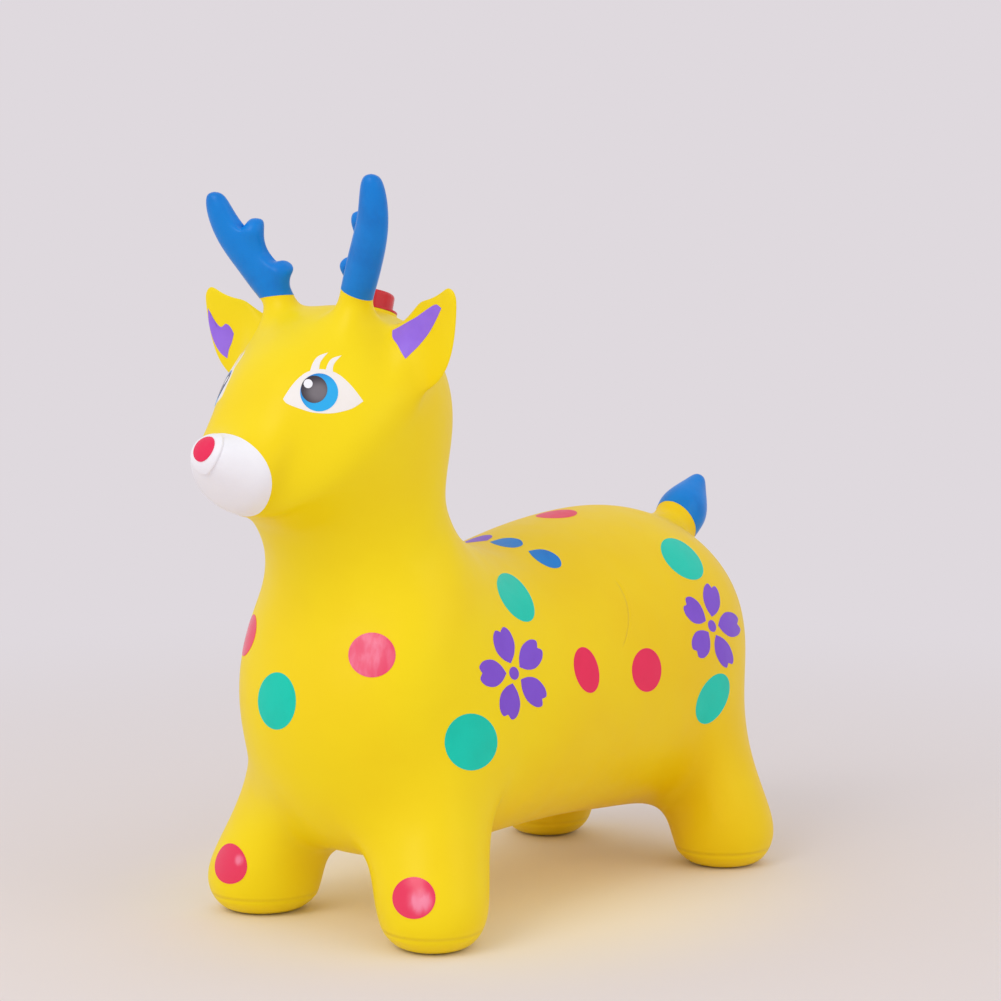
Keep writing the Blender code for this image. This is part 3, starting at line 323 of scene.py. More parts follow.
# Where the white of the muzzle and the blue of antlers and tail begin: a point on the edge, and
# to which side the paint lies
MUZZLE_EDGE = (Vector((0, -0.2375, 0.292)), Vector((0, -3, -1)))
CHIN_HEIGHT = 0.272
ANTLER_EDGES = {
    1: (Vector((0.041, -0.17, 0.4385)), Vector((0.45, 0, 1))),
    -1: (Vector((-0.031, -0.17, 0.4379)), Vector((-0.12, 0, 1))),
}
# The plane that parts an antler from its ear: a point on it, and to which side the antler lies
EAR_LIMIT = (Vector((0.068, 0, 0.43)), Vector((-1, 0, 0.8)))
TAIL_EDGE = (Vector((0, 0.2315, 0.272)), Vector((0, 0.886, 0.464)))
TAIL_ROOT = 0.2435

# Stage: the floor, how far out it turns from the painted bounce light below the deer to its own
# colour, and how far out that fades into the backdrop
FLOOR_RADIUS = 9
FLOOR_PAINTED_BOUNCE = (0.06, 0.3)
FLOOR_FADE = (0.4, 1.5)
# Lamps: name, width of the lit square, place. They shine at the middle of the deer.
LAMPS = (("key", 1.6, Vector((0.1, -2.4, 2.1))), ("fill", 1.8, Vector((2.6, 0.4, 1.6))))
LAMP_AIM = Vector((0, 0, 0.25))

# Moulded plastics of the fittings: slot, name, colour, shade, roughness
PLASTICS = (
    ("red_plastic", "module_red", (214, 22, 34), (196, 14, 26), 0.24),
    ("white_plastic", "button_white", (238, 236, 230), (230, 227, 220), 0.32),
    ("green_board", "board_green", (24, 104, 58), (18, 88, 48), 0.4),
    ("black_plastic", "moulded_black", (34, 34, 36), (26, 26, 28), 0.5),
    ("grey_film", "film_grey", (190, 190, 190), (176, 176, 176), 0.3),
)


def section_rings():
    """The five section values at every ring, on a smooth curve through the named sections."""
    knots = []
    rows = []
    for name, top, under, half in SECTION_SHARES:
        knots.append(ring_number(name))
        along = (top[0] * BODY_LENGTH, under[0] * BODY_LENGTH)
        up = (top[1] * CROWN_HEIGHT, under[1] * CROWN_HEIGHT)
        rows.append((along[0], up[0], along[1], up[1], half * BODY_WIDTH))
    rows = np.array(rows)
    slopes = np.gradient(rows, knots, axis=0)
    rings = []
    for k in range(len(knots) - 1):
        span = knots[k + 1] - knots[k]
        for step in range(span):
            t = step / span
            start = (1 + 2 * t) * (1 - t) ** 2 * rows[k] + t * (1 - t) ** 2 * span * slopes[k]
            end = t * t * (3 - 2 * t) * rows[k + 1] + t * t * (t - 1) * span * slopes[k + 1]
            rings.append(start + end)
    rings.append(rows[-1])
    return rings


def ring_number(name):
    names = [row[0] for row in SECTION_SHARES]
    return sum(GAP_COUNT[: names.index(name)])


def spline_gain(count):
    """How far outside the smooth surface the corners of a ring of this many points stand."""
    return 3 / (2 + math.cos(math.tau / count))


def ring_points(number, values, gain):
    """The points round one section, from the top down the left side and up the right."""
    top = Vector((0, values[0], values[1]))
    under = Vector((0, values[2], values[3]))
    centre = (top + under) / 2
    rise = (top - under) / 2 * gain
    half = values[4] * gain
    first, last = ring_number("chest"), ring_number("nape")
    share = min(1, max(0, (number - first + 1) / (last - first)))
    power = TORSO_FULLNESS * (1 - share) + HEAD_FULLNESS * share
    left = [a * (1 - share) + b * share for a, b in zip(TORSO_ANGLES, HEAD_ANGLES)]
    points = []
    for angle, side in [(a, 1) for a in left] + [(a, -1) for a in left[-2:0:-1]]:
        turn = math.radians(angle)
        up = math.copysign(abs(math.cos(turn)) ** power, math.cos(turn))
        out = side * abs(math.sin(turn)) ** power
        points.append(centre + rise * up + X * half * out)
    return points


def tube_faces(bm, rings):
    """Faces between the rings, by ring and column, and the two end faces."""
    count = len(rings[0])
    faces = {}
    for i in range(len(rings) - 1):
        for k in range(count):
            after = (k + 1) % count
            corners = (rings[i][k], rings[i + 1][k], rings[i + 1][after], rings[i][after])
            faces[i, k] = bm.faces.new(corners)
    bm.faces.new(rings[0])
    bm.faces.new(rings[-1][::-1])
    return faces


def open_patch(bm, rings, faces, first, rows, columns, side):
    """Takes faces out of the body's tube and returns the loop of points round the hole."""
    count = len(rings[0])
    low = columns[0] if side > 0 else count - columns[0] - columns[1]
    high = low + columns[1]
    for i in range(first, first + rows):
        for k in range(low, high):
            bm.faces.remove(faces.pop((i, k % count)))
    last = first + rows
    path = [(first, k) for k in range(low, high)]
    path += [(i, high) for i in range(first, last)]
    path += [(last, k) for k in range(high, low, -1)]
    path += [(i, low) for i in range(last, first, -1)]
    return [rings[i][k % count] for i, k in path]


def middle(points):
    return sum((p.co for p in points), Vector()) / len(points)


class Limb:
    """Rings of points that grow from a loop, each turned to match the loop's points."""

    def __init__(self, bm, loop, u, v):
        self.bm = bm
        self.rings = [loop]
        self.bands = []
        self.count = len(loop)
        self.gain = spline_gain(self.count)
        centre = middle(loop)
        angles = [math.atan2((p.co - centre).dot(v), (p.co - centre).dot(u)) for p in loop]
        after = angles[1:] + angles[:1]
        turn = sum(math.remainder(b - a, math.tau) for a, b in zip(angles, after))
        self.step = math.copysign(math.tau / self.count, turn)
        drift = [math.remainder(a - angles[0] - j * self.step, math.tau) for j, a in enumerate(angles)]
        self.start = angles[0] + sum(drift) / self.count

    def angles(self):
        return [self.start + j * self.step for j in range(self.count)]

    def add(self, points):
        new = [self.bm.verts.new(p) for p in points]
        old = self.rings[-1]
        band = []
        for j in range(self.count):
            after = (j + 1) % self.count
            band.append(self.bm.faces.new((old[j], old[after], new[after], new[j])))
        self.bands.append(band)
        self.rings.append(new)

    def oval(self, centre, u, v, ru, rv, bow=1):
        """Adds an oval ring. A bow below 1 draws its -v side in, and so hollows it."""
        points = []
        for angle in self.angles():
            across = math.sin(angle)
            if across < 0:
                across *= bow
            points.append(centre + (u * ru * math.cos(angle) + v * rv * across) * self.gain)
        self.add(points)

    def close(self):
        self.bm.faces.new(self.rings[-1])


def leg_centre(shares, height):
    """Where the leg's middle line is at this height: hip and foot joined by a straight line."""
    hip, foot = shares[0], shares[1]
    widest = LEG_RADIUS_SHARES[2][0] * HIP_HEIGHT
    share = max(0, (height - widest) / (HIP_HEIGHT - widest))
    out = (foot[0] * (1 - share) + hip[0] * share) * BODY_WIDTH / 2
    along = (foot[1] * (1 - share) + hip[1] * share) * BODY_LENGTH
    return out, along


def leg_radius(height):
    heights = [row[0] * HIP_HEIGHT for row in LEG_RADIUS_SHARES]
    radii = [row[1] * FOOT_RADIUS for row in LEG_RADIUS_SHARES]
    return float(np.interp(height, heights, radii))


def leg_point(shares, side, height, angle, radius):
    out, along = leg_centre(shares, height)
    splay = Vector((side, math.copysign(1, along), 0)).normalized()
    across = splay.cross(Z)
    stretch = shares[2]
    around = splay * math.cos(angle) * stretch + across * math.sin(angle)
    return Vector((side * out, along, height)) + around * radius


def add_leg(bm, loop, shares, side):
    """A stub leg: its rings keep the slope of the loop they leave and level out at the foot."""
    splay = Vector((side, math.copysign(1, shares[1][1]), 0)).normalized()
    leg = Limb(bm, loop, splay, splay.cross(Z))
    for keep, draw in LEG_RING_SHARES:
        points = []
        for root, angle in zip(loop, leg.angles()):
            height = root.co.z * keep
            place = leg_point(shares, side, height, angle, leg_radius(height) * leg.gain)
            points.append(root.co * (1 - draw) + place * draw)
            points[-1].z = height
        leg.add(points)
    edge = FOOT_EDGE_HEIGHT
    leg.add(leg_point(shares, side, edge, a, leg_radius(edge) * leg.gain) for a in leg.angles())
    for share in SOLE_RING_SHARES:
        leg.add(leg_point(shares, side, 0, a, share * FOOT_RADIUS) for a in leg.angles())
    leg.close()
    for _ in range(ROOT_SMOOTHINGS):
        verts = leg.rings[0] + leg.rings[1]
        bmesh.ops.smooth_vert(
            bm, verts=verts, factor=0.5, use_axis_x=True, use_axis_y=True, use_axis_z=True
        )


def add_ear(bm, loop, side):
    root = middle(loop)
    back = Vector((EAR_TURN * side, 1, 0)).normalized()
    ear = Limb(bm, loop, Z, back)
    for place, lean, height, thickness, bow in EAR_RING_SHARES:
        centre = root + Vector((side * place[0], -place[1], place[2])) * EAR_LENGTH
        up = Z * math.cos(math.radians(lean)) - X * side * math.sin(math.radians(lean))
        ear.oval(centre, up, back, height * EAR_HEIGHT, thickness * EAR_THICKNESS, bow)
    ear.close()


def add_antler(bm, loop, side):
    root = middle(loop)
    rise = 1 if side > 0 else RIGHT_ANTLER_SHARE
    beam = Limb(bm, loop, X * side, Y)
    for place, lean, width, depth in ANTLER_RING_SHARES:
        centre = root + Vector((side * place[0], -place[1], place[2] * rise)) * ANTLER_HEIGHT
        out = X * side * math.cos(math.radians(lean)) - Z * math.sin(math.radians(lean))
        beam.oval(centre, out, Y, width * ANTLER_THICKNESS / 2, depth * ANTLER_THICKNESS / 2)
    beam.close()
    for place in TINE_TIP_SHARES:
        tip = Vector((side * place[0], -place[1], place[2] * (1 + rise) / 2)) * ANTLER_HEIGHT
        add_tine(bm, beam, root + tip)


def add_tine(bm, beam, tip):
    """A short branch that takes the two faces of the beam nearest to its tip."""
    seats = [(i, j) for i in range(2, len(beam.bands) - 1) for j in range(beam.count)]
    seats = [(i, j) for i, j in seats if beam.bands[i][j].is_valid and beam.bands[i - 1][j].is_valid]
    seat = tip - Z * TINE_SEAT_DROP
    i, j = min(seats, key=lambda at: (seat - middle([beam.rings[at[0]][at[1]]])).length)
    after = (j + 1) % beam.count
    low, waist, high = beam.rings[i - 1], beam.rings[i], beam.rings[i + 1]
    loop = [low[j], low[after], waist[after], high[after], high[j], waist[j]]
    bm.faces.remove(beam.bands[i][j])
    bm.faces.remove(beam.bands[i - 1][j])
    start = middle(loop)
    reach = tip - start
    across = reach.cross(Y).normalized()
    tine = Limb(bm, loop, across, Y)
    for along, width in TINE_RING_SHARES:
        radius = width * TINE_THICKNESS / 2
        tine.oval(start + reach * along, across, Y, radius, radius)
    tine.close()


def add_tail(bm, loop):
    axis = Z * math.cos(TAIL_LEAN) + Y * math.sin(TAIL_LEAN)
    across = axis.cross(X)
    root = middle(loop) + Y * TAIL_SET_BACK
    tail = Limb(bm, loop, X, across)
    for along, radius in TAIL_RING_SHARES:
        size = radius * TAIL_DIAMETER
        tail.oval(root + axis * along * TAIL_LENGTH, X, across, size, size)
    tail.close()


def body_cage():
    """The outer skin as a cage of flat faces, which a Subdivision Surface rounds."""
    bm = bmesh.new()
    values = section_rings()
    gain = spline_gain(2 * len(TORSO_ANGLES) - 2)
    rings = [[bm.verts.new(p) for p in ring_points(i, row, gain)] for i, row in enumerate(values)]
    faces = tube_faces(bm, rings)
    crown, tail_seat = ring_number("ear_line"), ring_number("tail_seat")
    for side in SIDES:
        for shares, start in ((FRONT_LEG_SHARES, "shoulder"), (REAR_LEG_SHARES, "haunch")):
            loop = open_patch(bm, rings, faces, ring_number(start), LEG_ROW_COUNT, LEG_COLUMN_COUNT, side)
            add_leg(bm, loop, shares, side)
        loop = open_patch(bm, rings, faces, crown - 1, SMALL_ROW_COUNT, EAR_COLUMN_COUNT, side)
        add_ear(bm, loop, side)
        loop = open_patch(bm, rings, faces, crown + 1, SMALL_ROW_COUNT, ANTLER_COLUMN_COUNT, side)
        add_antler(bm, loop, side)
    add_tail(bm, open_patch(bm, rings, faces, tail_seat, SMALL_ROW_COUNT, TAIL_COLUMN_COUNT, 1))
    bmesh.ops.delete(bm, geom=[v for v in bm.verts if not v.link_faces], context="VERTS")
    bmesh.ops.delete(bm, geom=[e for e in bm.edges if not e.link_faces], context="EDGES")
    return bm


def srgb(red, green, blue):
    """A colour written in bytes, as the linear one of a material."""
    shares = [c / 255 for c in (red, green, blue)]
    return tuple(s / 12.92 if s <= 0.04045 else ((s + 0.055) / 1.055) ** 2.4 for s in shares)


class Value:
    """An output socket in a shader expression; arithmetic on it adds Math nodes."""

    def __init__(self, look, socket):
        self.look = look
        self.socket = socket

    def maths(self, operation, *values):
        return self.look.node("ShaderNodeMath", {"operation": operation}, dict(enumerate(values)))

    def __add__(self, other):
        return self.maths("ADD", self, other)

    def __radd__(self, other):
        return self.maths("ADD", other, self)

    def __sub__(self, other):
        return self.maths("SUBTRACT", self, other)

    def __rsub__(self, other):
        return self.maths("SUBTRACT", other, self)

    def __mul__(self, other):
        return self.maths("MULTIPLY", self, other)

    def __rmul__(self, other):
        return self.maths("MULTIPLY", other, self)

    def __abs__(self):
        return self.maths("ABSOLUTE", self)

    def clipped(self, low, high):
        """Rises from 0 at low to 1 at high, smoothly."""
        settings = {"interpolation_type": "SMOOTHSTEP"}
        values = {"Value": self, "From Min": low, "From Max": high}
        return self.look.node("ShaderNodeMapRange", settings, values)


class Look:
    """The nodes of a material or of the world."""

    def __init__(self, owner):
        owner.use_nodes = True
        self.owner = owner
        self.tree = owner.node_tree
        self.shader = self.tree.nodes.get("Principled BSDF")

    def node(self, kind, settings=None, values=None, output=0):
        """A new node: its settings are set first, then its sockets are set or linked."""
        made = self.tree.nodes.new(kind)
        for name, setting in (settings or {}).items():
            setattr(made, name, setting)
        for name, value in (values or {}).items():
            self.feed(made.inputs[name], value)
        return Value(self, made.outputs[output])

    def feed(self, socket, value):
        if isinstance(value, Value):
            self.tree.links.new(value.socket, socket)
        else:
            socket.default_value = value

    def shade(self, **values):
        """Sets or links sockets of the material's own shader."""
        for name, value in values.items():
            self.feed(self.shader.inputs[name.replace("_", " ")], value)

    def mix(self, share, first, second):
        """The first colour where the share is 0, the second where it is 1."""
        values = {0: share, 6: (*first, 1), 7: (*second, 1)}
        return self.node("ShaderNodeMix", {"data_type": "RGBA"}, values, 2)

    def vectors(self, operation, *values, output=0):
        settings = {"operation": operation}
        return self.node("ShaderNodeVectorMath", settings, dict(enumerate(values)), output)

    def place(self, axis=None):
        """Where the surface is, as a vector or along one axis."""
        whole = self.node("ShaderNodeTexCoord", output="Object")
        if axis is None:
            return whole
        return self.node("ShaderNodeSeparateXYZ", values={0: whole}, output="XYZ".index(axis))

    def noise(self, scale, detail=2, roughness=0.5, place=None):
        where = self.place() if place is None else place
        values = {"Vector": where, "Scale": scale, "Detail": detail, "Roughness": roughness}
        return self.node("ShaderNodeTexNoise", values=values)

    def distance(self, centre, mirrored=False):
        """How far the surface is from the centre, or from the centre on its own side."""
        place = self.place()
        if mirrored:
            place = self.vectors("ABSOLUTE", place)
            centre = map(abs, centre)
        return self.vectors("DISTANCE", place, tuple(centre), output="Value")

    def bump(self, height, depth, under=None):
        values = {"Height": height, "Distance": depth, "Strength": 1}
        if under is not None:
            values["Normal"] = under
        return self.node("ShaderNodeBump", values=values)

    def roughen(self, base, scale, detail, spread):
        """Roughness that varies about its base by half the spread."""
        self.shade(Roughness=base + (self.noise(scale, detail) - 0.5) * spread)


def finish(name, colour, roughness, **constants):
    """The look of a new material with one colour and roughness all over."""
    look = Look(bpy.data.materials.new(name))
    look.shade(Base_Color=(*colour, 1), Roughness=roughness, **constants)
    return look


def satin_vinyl(name, colour, shade, roughness):
    """Soft vinyl: a fine grain, the slow waves of the blown skin, a crease round the soles, random clouds
    of a deeper colour, and painted shade that deepens the colour towards the rear."""
    look = finish(name, colour, roughness, Specular_IOR_Level=0.25)
    cloud = look.noise(9, 3).clipped(0.3, 0.75)
    # Painted shade: towards the rear the colour is mixed into its deeper shade, beside the random clouds
    rear = look.place("Y").clipped(-0.16, 0.08)
    look.shade(Base_Color=look.mix(cloud * 0.4 + rear * 0.6, colour, shade))
    look.roughen(roughness, 60, 3, 0.16)
    dents = look.bump(look.noise(22), 0.0014, look.bump(look.noise(9, 1), 0.003))
    off_crease = abs(look.place("Z") - SOLE_CREASE).clipped(0, SOLE_CREASE_WIDTH)
    sole = look.bump(off_crease, SOLE_CREASE_DEPTH, dents)
    look.shade(Normal=look.bump(look.noise(700), 0.00006, sole))
    return look


def add_flank_crease(look):
    """A faint crease on the flank, along a parabola through its three points."""
    ends = sights(skin_tree(), FLANK_CREASE)
    a, b, c = map(float, np.polyfit([p.z for p in ends], [p.y for p in ends], 2))
    up = look.place("Z")
    off = abs(look.place("Y") - (a * up + b) * up - c).clipped(0, FLANK_CREASE_WIDTH)
    above, below = up - ends[2].z, ends[0].z - up
    fade = FLANK_CREASE_FADE
    within = above.clipped(-fade, fade) * below.clipped(-fade, fade)
    surface = Value(look, look.shader.inputs["Normal"].links[0].from_socket)
    look.shade(Normal=look.bump(within * off - within, FLANK_CREASE_DEPTH, surface))


def sprayed_paint(name, colour, shade=None, roughness=0.36, gloss=0.25):
    """Sprayed vinyl paint: a little speckle, and its shade in thin places of the coat."""
    look = finish(name, colour, roughness, Specular_IOR_Level=gloss)
    if shade:
        thin = look.noise(40, 4, 0.6).clipped(0.35, 0.8)
        look.shade(Base_Color=look.mix(thin * 0.6, colour, shade))
    look.roughen(roughness, 150, 2, 0.14)
    waves = look.bump(look.noise(30), 0.0009)
    look.shade(Normal=look.bump(look.noise(900), 0.00005, waves))
    return look


def eye_paint(name, colour, edge, light):
    """Paint that turns to its edge colour away from where the eye is lightest."""
    look = sprayed_paint(name, colour, roughness=0.3)
    place, near, far = light
    look.shade(Base_Color=look.mix(look.distance(place, mirrored=True).clipped(near, far), colour, edge))
    return look


def glossy_paint_with_painted_gleams(name, colour, painted_gleam_colour, tree):
    """Glossy paint with painted reflections: its colour turns to a lighter one in upright streaks round the places
    of PAINTED_GLEAMS.
    """
    look = sprayed_paint(name, colour, roughness=0.2, gloss=0.6)
    upright = look.vectors("MULTIPLY", look.place(), STREAK_STRETCH)
    streaks = look.noise(190, place=upright).clipped(0.35, 0.65)
    painted_gleam = 0
    for seat, reach, strength in PAINTED_GLEAMS:
        near = 1 - look.distance(sight(tree, *seat)[0]).clipped(reach / 5, reach)
        painted_gleam = near * (0.6 + streaks * 0.4) * strength + painted_gleam
    # Painted reflection: the lighter colour is mixed into the base colour
    look.shade(Base_Color=look.mix(painted_gleam.clipped(0, 1), colour, painted_gleam_colour))
    return look


def moulded_plastic(name, colour, shade, roughness):
    """Injection-moulded plastic: nearly smooth, with a faint flow of colour."""
    look = finish(name, colour, roughness)
    look.shade(Base_Color=look.mix(look.noise(120, 3) * 0.6, colour, shade))
    look.roughen(roughness, 400, 2, 0.12)
    look.shade(Normal=look.bump(look.noise(1500), 0.00002))
    return look


def plated_metal(name, colour, roughness):
    """Nickel-plated metal with fine scuffs."""
    look = finish(name, colour, roughness, Metallic=1)
    look.roughen(roughness, 2500, 3, 0.2)
    look.shade(Normal=look.bump(look.noise(3000), 0.000008))
    return look


def clear_selection():
    bpy.ops.object.select_all(action="DESELECT")


def pick(*pieces):
    """Selects these pieces alone and makes the first one active."""
    clear_selection()
    for piece in pieces:
        piece.select_set(True)
    bpy.context.view_layer.objects.active = pieces[0]


def apply_modifier(piece, kind, **settings):
    pick(piece)
    modifier = piece.modifiers.new(kind.lower(), kind)
    for name, setting in settings.items():
        setattr(modifier, name, setting)
    bpy.ops.object.modifier_apply(modifier=modifier.name)


def subdivide(piece, levels):
    apply_modifier(piece, "SUBSURF", levels=levels, render_levels=levels)


def thicken(piece, thickness):
    """Gives faces their thickness, below their outer side."""
    apply_modifier(piece, "SOLIDIFY", thickness=thickness, offset=-1, use_even_offset=False)


def join(name, pieces):
    pick(*pieces)
    bpy.ops.object.join()
    pieces[0].name = name
    return pieces[0]


def complete(piece, look, angle=EDGE_ANGLE):
    """Gives a finished piece its material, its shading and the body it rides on."""
    pick(piece)
    bpy.ops.object.transform_apply(location=True, rotation=True, scale=True)
    piece.data.materials.clear()
    piece.data.materials.append(look.owner)
    bpy.ops.object.shade_smooth_by_angle(angle=math.radians(angle))
    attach(piece, "body")


def skin_tree(name="vinyl_skin"):
    """A piece's surface, for lines of sight and for laying marks on it."""
    return BVHTree.FromObject(bpy.data.objects[name], bpy.context.evaluated_depsgraph_get())


def sight(tree, x, y):
    """Where the line through a point of the picture meets the skin, and the normal there."""
    half = PICTURE_SIDE / 2
    direction = Vector(((x - half) / FOCAL, (half - y) / FOCAL, -1))
    direction.rotate(VIEW_TURN)
    place, normal, _, _ = tree.ray_cast(VIEW_PLACE, direction)
    return place, normal


def sights(tree, outline):
    """An outline's points on the skin; one that misses the skin is drawn in until it meets it."""
    middle_point = [sum(p[i] for p in outline) / len(outline) for i in (0, 1)]
    places = []
    for point in outline:
        for share in DRAW_IN_SHARES:
            drawn = [p * (1 - share) + m * share for p, m in zip(point, middle_point)]
            place, _ = sight(tree, *drawn)
            if place is not None:
                break
        if place is None:
            raise RuntimeError(f"no skin behind {point}")
        places.append(place)
    return places


def cast(tree, points, direction):
    """Where lines in this direction through the points meet the skin."""
    places = []
    for point in points:
        place, _, _, _ = tree.ray_cast(point - direction * CAST_REACH, direction)
        if place is None:
            raise RuntimeError(f"no skin behind {point}")
        places.append(place)
    return places


def curve_through(points, steps):
    """More points on a smooth curve through a few, up to the last one, which is left out."""
    last = len(points) - 1
    places = []
    for i in range(last):
        row = [points[min(max(k, 0), last)] for k in range(i - 1, i + 3)]
        for step in range(steps):
            t = step / steps
            a = (-t + 2 * t * t - t**3) / 2
            b = (2 - 5 * t * t + 3 * t**3) / 2
            c = (t + 4 * t * t - 3 * t**3) / 2
            d = (-t * t + t**3) / 2
            places.append(tuple(a * p + b * q + c * r + d * s for p, q, r, s in zip(*row)))
    return places


def cornered(curves):
    """An outline of curves that meet in corners."""
    outline = []
    for k, points in enumerate(curves):
        outline += curve_through([curves[k - 1][-1], *points], CURVE_STEPS)
    return outline


def round_angles(count):
    return [math.tau * k / count for k in range(count)]


def turned(points, angle):
    """Flat points, turned about zero."""
    c, s = math.cos(angle), math.sin(angle)
    return [(x * c - y * s, x * s + y * c) for x, y in points]


def oval(x, y, length, width, turn, count=OVAL_POINTS):
    points = [(length * math.cos(a), width * math.sin(a)) for a in round_angles(count)]
    return [(x + across, y + down) for across, down in turned(points, math.radians(turn))]


def flower(centre, first, quarter):
    """The round eye and the petals of a flower."""
    shapes = [oval(0, 0, FLOWER_EYE, FLOWER_EYE, 0, SMALL_OVAL_POINTS)]
    shapes += [turned(cornered(PETAL_OUTLINE), a) for a in round_angles(PETAL_COUNT)]
    parts = list(zip(centre, first, quarter))
    return [[[m + x * f + y * q for m, f, q in parts] for x, y in shape] for shape in shapes]


def ring(seat, facing, radius, stretch=1):
    """Points round a seat that faces this way."""
    up = facing.cross(X).normalized()
    right = up.cross(facing) * stretch
    return [seat + (right * math.cos(a) + up * math.sin(a)) * radius for a in round_angles(RING_POINTS)]


def drop(tree, across, along, turn, side):
    """A drop on the back: its tip's place seen from above, the turn of its length, its side."""
    points = []
    for x, y in turned(cornered(DROP), math.radians(turn)):
        points.append(Vector((across + side * x / 1000, along + y / 1000, ABOVE_BACK)))
    return cast(tree, points, -Z)


def film(points, tree):
    """A thin face with this outline, filled by rings that draw in to its middle."""
    centre = sum(points, Vector()) / len(points)
    _, normal, _, _ = tree.find_nearest(centre)
    arms = [p - centre for p in points]
    turn = sum((a.cross(b) for a, b in zip(arms, arms[1:])), Vector())
    if turn.dot(normal) < 0:
        points = points[::-1]
    clear_selection()
    bpy.ops.mesh.primitive_circle_add(vertices=len(points), radius=0.01, fill_type="NGON")
    piece = bpy.context.object
    for vertex, point in zip(piece.data.vertices, points):
        vertex.co = point
    bpy.ops.object.mode_set(mode="EDIT")
    bpy.ops.mesh.select_all(action="SELECT")
    for share in FILM_RING_SHARES:
        bpy.ops.mesh.inset(thickness=0)
        bpy.ops.transform.resize(value=(share, share, share), center_override=centre)
    bpy.ops.mesh.merge(type="CENTER")
    bpy.ops.object.mode_set(mode="OBJECT")
    return piece


def lash(edges, tree):
    """A tapering stroke between two edges that meet at its tip."""
    sides = [curve_through(edge, LASH_STEPS) + [edge[-1]] for edge in edges]
    spans = LASH_COLUMNS - 1
    clear_selection()
    bpy.ops.mesh.primitive_grid_add(x_subdivisions=spans, y_subdivisions=len(sides[0]) - 1, size=0.01)
    piece = bpy.context.object
    for index, vertex in enumerate(piece.data.vertices):
        row, column = divmod(index, LASH_COLUMNS)
        share = column / spans
        point = [a * (1 - share) + b * share for a, b in zip(sides[0][row], sides[1][row])]
        vertex.co = sights(tree, [point])[0]
    pick(piece)
    bpy.ops.object.mode_set(mode="EDIT")
    bpy.ops.mesh.select_all(action="SELECT")
    bpy.ops.mesh.remove_doubles(threshold=0.00001)
    bpy.ops.object.mode_set(mode="OBJECT")
    return piece


def lay(piece, lift, thickness, mirrored, under="vinyl_skin"):
    """Lays films on the skin, copies them to the other side and gives them their thickness."""
    skin = bpy.data.objects[under]
    tree = skin_tree(under)
    apply_modifier(piece, "SHRINKWRAP", target=skin, wrap_mode="ABOVE_SURFACE", offset=lift)
    facing = 0
    for face in piece.data.polygons:
        facing += face.normal.dot(tree.find_nearest(face.center)[1]) * face.area
    if facing < 0:
        piece.data.flip_normals()
    if mirrored:
        apply_modifier(piece, "MIRROR", use_mirror_merge=False)
    thicken(piece, thickness)


def paint(name, outlines, look, layer=1, mirrored=True, under="vinyl_skin"):
    """The marks of one colour as one piece, from outlines in the picture or places on the skin."""
    chosen = bpy.context.scene.deer_paint
    tree = skin_tree(under)
    films = []
    for outline in outlines:
        places = outline if len(outline[0]) == 3 else sights(tree, outline)
        films.append(film(places, tree))
    piece = join(name, films)
    lay(piece, chosen.lift * layer, chosen.lift * layer + chosen.thickness, mirrored, under)
    complete(piece, look)


def sheared_copy(name, cuts):
    """The part of the skin that lies before every cut, as a piece of its own."""
    pick(bpy.data.objects["vinyl_skin"])
    bpy.ops.object.duplicate()
    piece = bpy.context.object
    piece.name = name
    bpy.ops.object.mode_set(mode="EDIT")
    for place, direction in cuts:
        bpy.ops.mesh.select_all(action="SELECT")
        bpy.ops.mesh.bisect(plane_co=place, plane_no=direction.normalized(), clear_inner=True)
    bpy.ops.object.mode_set(mode="OBJECT")
    return piece


def coat(piece, look):
    """Lifts a copy of the skin off it as a coat of paint, and completes it."""
    chosen = bpy.context.scene.deer_paint
    apply_modifier(piece, "DISPLACE", strength=chosen.lift, mid_level=0)
    thicken(piece, chosen.lift + chosen.thickness)
    complete(piece, look)


def colour_setting(name, description, *colour):
    """A colour that a user can change. Its default is written in bytes."""
    return bpy.props.FloatVectorProperty(
        name=name, description=description, subtype="COLOR", size=3, default=srgb(*colour)
    )


def length_setting(name, description, default):
    """A length in metres that a user can change."""
    return bpy.props.FloatProperty(
        name=name, description=description, unit="LENGTH", precision=5, default=default
    )


class DeerSkin(bpy.types.PropertyGroup):
    colour: colour_setting("Colour", "Colour of the vinyl", 254, 226, 6)
    # The deeper colour of random clouds in the vinyl, and of the painted shade towards the rear
    shade: colour_setting("Shade", "Colour of its deeper clouds", 247, 205, 1)
    roughness: bpy.props.FloatProperty(
        name="Roughness", description="How matt the vinyl is", subtype="FACTOR", min=0, max=1,
        default=0.42,
    )


class DeerPaint(bpy.types.PropertyGroup):
    lift: length_setting("Lift", "How far a coat stands off the skin", 0.00014)
    thickness: length_setting("Thickness", "How far a coat reaches under the skin", 0.0003)
    white: colour_setting("White", "Muzzle and glints of the eyes", 249, 248, 254)
    blue: colour_setting("Blue", "Antlers, tail and saddle drops", 8, 132, 224)
    pink: colour_setting("Pink", "Nose, round marks and saddle", 242, 44, 92)
    # Painted reflection: the lighter pink painted where the glossy marks in front would mirror the light
    painted_gleam: colour_setting("Gleam", "Pink where it mirrors the light", 254, 138, 172)
    teal: colour_setting("Teal", "Round marks", 6, 210, 186)
    purple: colour_setting("Purple", "Flowers and a saddle drop", 134, 84, 218)
    pad: length_setting("Nose pad", "Radius of the pad under the nose", PAD_RADIUS)
    pad_height: length_setting("Pad height", "How far the pad stands off the muzzle", 0.0018)
    nose: length_setting("Nose", "Radius of the pink nose", NOSE_RADIUS)
    ear: colour_setting("Ear", "Patches in the ears", 160, 116, 244)
    eye_white: colour_setting("Eye white", "White of the eyes", 249, 243, 240)
    iris: colour_setting("Iris", "Iris of the eyes", 44, 178, 245)
    pupil: colour_setting("Pupil", "Pupil of the eyes", 122, 116, 122)
    iris_edge: colour_setting("Iris edge", "Iris at its upper edge", 40, 128, 216)
    pupil_edge: colour_setting("Pupil edge", "Pupil at its edge", 62, 56, 66)


